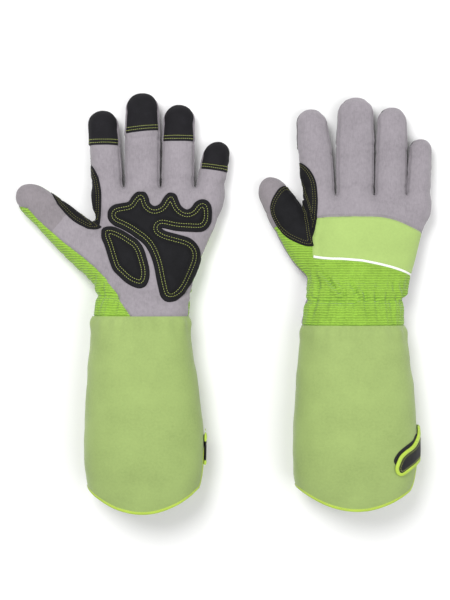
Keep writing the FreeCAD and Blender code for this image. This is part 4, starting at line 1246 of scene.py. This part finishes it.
def glove_cuff(G, H):
    tag, palm, ys = G["tag"], G["palm"], G["ys"]
    tab = smooth_table(G["cuff"], 1.0, 6.0)
    hx, hy, hk = G["hem"]
    pitch = 1.45
    nt = int(round(300 / pitch))
    rows = np.arange(ys, hy - 6.0, -pitch)
    th = 2 * math.pi * np.arange(nt) / nt - math.pi / 2
    ct, st = np.cos(th), np.sin(th)
    Y = rows[:, None]
    a, b, xc, zc = (at(tab, rows, k)[:, None] for k in (2, 4, 1, 3))
    p = 2.2
    rr = (np.abs(ct) ** p + np.abs(st) ** p) ** (-1 / p)
    X = xc + a * (ct * rr)
    Z = zc + b * (st * rr)
    V = np.stack([X, np.broadcast_to(Y, X.shape), Z], -1).reshape(-1, 3)
    idx = np.arange(len(V)).reshape(len(rows), nt)
    A, B = idx[:-1], idx[1:]
    A2, B2 = np.roll(A, -1, 1), np.roll(B, -1, 1)
    T = np.concatenate([np.stack([A, B, B2], -1).reshape(-1, 3), np.stack([A, B2, A2], -1).reshape(-1, 3)])
    N = vertex_normals(V, T)
    if (N * (V - np.array([hx, 0, 36]))).sum(1).mean() < 0:
        T = T[:, ::-1]
    u = np.tile(th, len(rows)) * 47.0
    net = Net(V, T, U=np.stack([u, V[:, 1], np.zeros(len(V))], 1))
    zs, top = 36.0, hy + 58.0

    def edges(P):
        x, y, z = P[:, 0], P[:, 1], P[:, 2]
        g1 = y - (hy + hk * (x - hx) ** 2)
        t = np.clip((top - y) / 58.0, 0, 1)
        back = (z - zs) * (-palm)           # positive towards the back of the hand
        up = back - (2.6 + 11.0 * t ** 1.6)
        low = -back - (2.6 + 1.5 * t)
        gap = np.maximum(up, low)
        gap = np.where(y > top - 2.6, np.hypot(back, y - (top - 2.6)) - 2.6, gap)
        gap = np.where(x > hx + 12, gap, 50.0)
        return g1, gap

    full = (net.d["V"].copy(), net.T.copy(), net.d["U"].copy())
    g1, gap = edges(net.d["V"])
    net.cut(np.minimum(g1, 60))
    net.keep(edges(net.centres())[0] > 0)
    net.cut(np.minimum(edges(net.d["V"])[1], 9))
    net.keep(edges(net.centres())[1] > 0)

    def relief(P):
        x, y = P[:, 0], P[:, 1]
        rel = 0.8 * fbm(P, 55.0, 4.0 if palm > 0 else 9.0, 2) + 0.25 * fbm(P, 17.0, 2.0, 2)
        d = ys - y
        c, z0 = at(tab, y, 1), at(tab, y, 3)
        an = np.arctan2(P[:, 2] - z0, x - c)
        rel += 0.8 * np.exp(-(d / 16.0) ** 2) * np.sin(an * 17 + 1.2 * np.sin(an * 3)) * smooth01(d / 4.0)
        rel += 1.1 * np.exp(-((d - 7) / 5.0) ** 2) - 0.4 * np.exp(-(d / 1.5) ** 2)
        for d0, k, q in ((48.0, 0.6, 0.3), (96.0, 0.5, -0.4), (139.0, 0.5, 0.2)):
            rel += k * np.sin((d - d0) / 9.0 + q * an * 2) * np.exp(-((d - d0) / 12.0) ** 2)
        return rel

    V, T = net.d["V"], net.T
    n0 = lambda P, TT: vertex_normals(P, TT)
    W = settle(V + n0(V, T) * relief(V)[:, None])
    NW = vertex_normals(W, T)
    fabric = net.d["U"]
    v, f, used = closed_layer(W, NW, T, 0.0, -1.6)
    o = make(tag + "gauntlet_cloth", v, f, "cuff", rest=np.concatenate([fabric[used], fabric[used]]))
    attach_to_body(o, tag + "cuff")
    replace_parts(o, tag + "gauntlet")
    # binding along the hem and slit
    e1, e2 = edges(V)
    g = np.minimum(e1, e2)
    lines = iso_lines(W, T, g, 1.3, (NW,))
    best = max(lines, key=lambda r: np.linalg.norm(np.diff(r[0], axis=0), axis=1).sum())
    pts, nn = resample(best, 1.5)
    k = np.array([1, 2, 3, 4, 3, 2, 1], float)
    k /= k.sum()
    closed = np.linalg.norm(pts[0] - pts[-1]) < 0.5
    if closed:
        pts, nn = pts[:-1], nn[:-1]
        pad = lambda q: np.concatenate([q[-3:], q, q[:3]])
        pts = np.stack([np.convolve(pad(pts[:, c]), k, "valid") for c in range(3)], 1)
        nn = np.stack([np.convolve(pad(nn[:, c]), k, "valid") for c in range(3)], 1)
    v, f = sweep(pts - nn * 0.8, nn, 1.75, 1.35, 12, closed=closed)
    ob = make(tag + "hem_binding", settle(v), f, "binding")
    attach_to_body(ob, tag + "cuff")
    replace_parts(ob, tag + "cuff_binding")
    sl = [[W1, N1] for W1, N1 in iso_lines(W, T, g, 2.2, (NW,))]
    v, f = stitches(sl, 2.6, lift=0.5, thick=0.2)
    if v is not None:
        o = make(tag + "binding_stitches", v, f, "thread")
        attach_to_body(o, tag + "cuff")
    # closure tab, drawn on the right cuff's plan and moved to the left one
    dx, dy = (0.0, 0.0) if palm < 0 else (-198.6 - 0.4, -2.4)
    outline = [(181, -116.5), (179.4, -121.5), (177, -127.2), (172.1, -134), (165.5, -138.1), (160.6, -142.4), (158.2, -147.2), (156.4, -152.7), (156.8, -157.5), (159.4, -160.8),
               (163.7, -161.2), (169.8, -157.5), (177, -152.7), (183, -148.5), (192, -146), (200, -144), (200, -116)]
    outline = spline([(x + dx, y + dy) for x, y in outline])
    loop = spline([(x + dx, y + dy) for x, y in [(179, -124), (174.2, -129.4), (166, -134.6), (159.5, -139.6), (155.6, -146), (157, -150.5), (163, -152), (172, -146), (180, -139), (186, -134), (190, -128)]])
    Vf, Tf, Uf = full
    nf = Net(Vf, Tf)
    side = lambda P: (P[:, 2] - zs) * (-palm)

    def gt(P, poly):
        v = np.full(len(P), -20.0)
        m = (P[:, 0] > hx + 25) & (P[:, 1] < -100)
        v[m] = poly_distance(P[m], poly)
        return np.where(side(P) > -14, v, -20.0)

    nf.keep((nf.centres()[:, 0] > hx + 18) & (nf.centres()[:, 1] < -96 + dy) & (side(nf.centres()) > -16))
    root = -9.0 if palm < 0 else -4.0
    nf.cut(side(nf.d["V"]) - root)
    for lv in (0.0, 0.7, 3.1, 3.6):
        nf.cut(gt(nf.d["V"], outline) - lv, 0.08)
    nf.cut(gt(nf.d["V"], loop), 0.08)
    V, T = nf.d["V"], nf.T
    Nf = vertex_normals(V, T)
    W = settle(V + Nf * relief(V)[:, None])
    NW = vertex_normals(W, T)
    C = V[T].mean(1)
    gv, gc = gt(V, outline), gt(C, outline)
    ok = side(C) > root
    e = 3.3
    m = ok & (gc > e - 0.25)
    lift = 1.75
    v, f, used = closed_layer(W, NW, T[m], lift + 0.9, lift - 0.3)
    o = make(tag + "closure_tab_cloth", settle(v), f, "loop")
    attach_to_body(o, tag + "tab")
    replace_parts(o, tag + "closure_tab")
    m = ok & (gc > 0) & (gc < e)
    out = lift + 0.2 + 1.25 * np.sqrt(np.clip(1 - ((gv - 1.65) / 1.75) ** 2, 0, 1))
    back = lift - 0.1 - 0.55 * np.sqrt(np.clip(1 - ((gv - 1.65) / 1.75) ** 2, 0, 1))
    v, f, used = closed_layer(W, NW, T[m], out, back)
    o = make(tag + "tab_edge_binding", settle(v), f, "binding")
    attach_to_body(o, tag + "tab")
    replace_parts(o, tag + "tab_binding")
    mask = ok & (gc > e)
    sl = iso_lines(W + NW * (lift + 0.95), T[mask], gv, 4.4, (NW,))
    v, f = stitches(sl, 2.2, thick=0.2)
    if v is not None:
        o = make(tag + "tab_stitches", v, f, "thread")
        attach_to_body(o, tag + "tab")
    gl = gt(C, loop)
    slitc = edges(C)[1]
    m = (side(C) > 3.0) & (gl > 0) & (slitc > 3.6)
    v, f, used = closed_layer(W, NW, T[m], 0.75, 0.03)
    o = make(tag + "loop_cloth", settle(v), f, "loop")
    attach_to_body(o, tag + "cuff")
    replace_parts(o, tag + "loop_patch")


for G in (LEFT, RIGHT):
    G["hand_done"] = glove_hand(G)
    glove_cuff(G, G["hand_done"])

# ------------------------------------------------------------------ floor, light, camera
def plane(name, size, z):
    me = bpy.data.meshes.new(name)
    me.from_pydata([(-size, -size, z), (size, -size, z), (size, size, z), (-size, size, z)], [], [(0, 1, 2, 3)])
    o = bpy.data.objects.new(name, me)
    bpy.context.scene.collection.objects.link(o)
    return o


m = bpy.data.materials.new("floor_white")
m.use_nodes = True
b = m.node_tree.nodes["Principled BSDF"]
b.inputs["Base Color"].default_value = (0.92, 0.92, 0.92, 1)
b.inputs["Roughness"].default_value = 0.9
floor = plane("floor", 3.0, -0.0003)
floor.data.materials.append(m)

world = bpy.data.worlds.new("studio")
world.use_nodes = True
world.node_tree.nodes["Background"].inputs[0].default_value = (1, 1, 1, 1)
world.node_tree.nodes["Background"].inputs[1].default_value = 0.5
bpy.context.scene.world = world


def area(name, loc, target, size, power):
    d = bpy.data.lights.new(name, "AREA")
    d.shape = "DISK"
    d.size = size
    d.energy = power
    o = bpy.data.objects.new(name, d)
    bpy.context.scene.collection.objects.link(o)
    o.location = loc
    o.rotation_euler = (Vector(target) - Vector(loc)).to_track_quat("-Z", "Y").to_euler()


area("key", (-0.5, 0.7, 1.7), (0, 0, 0), 0.9, 24)
area("fill", (0.8, -0.3, 1.6), (0, 0, 0), 1.2, 12)

cam = bpy.data.cameras.new("camera")
cam.lens = 85
cam.sensor_width = 36
cam.clip_end = 50
co = bpy.data.objects.new("camera", cam)
bpy.context.scene.collection.objects.link(co)
co.location = (0.0005, 0.0005, 1.366)
bpy.context.scene.camera = co
bpy.context.scene.view_settings.view_transform = "Standard"
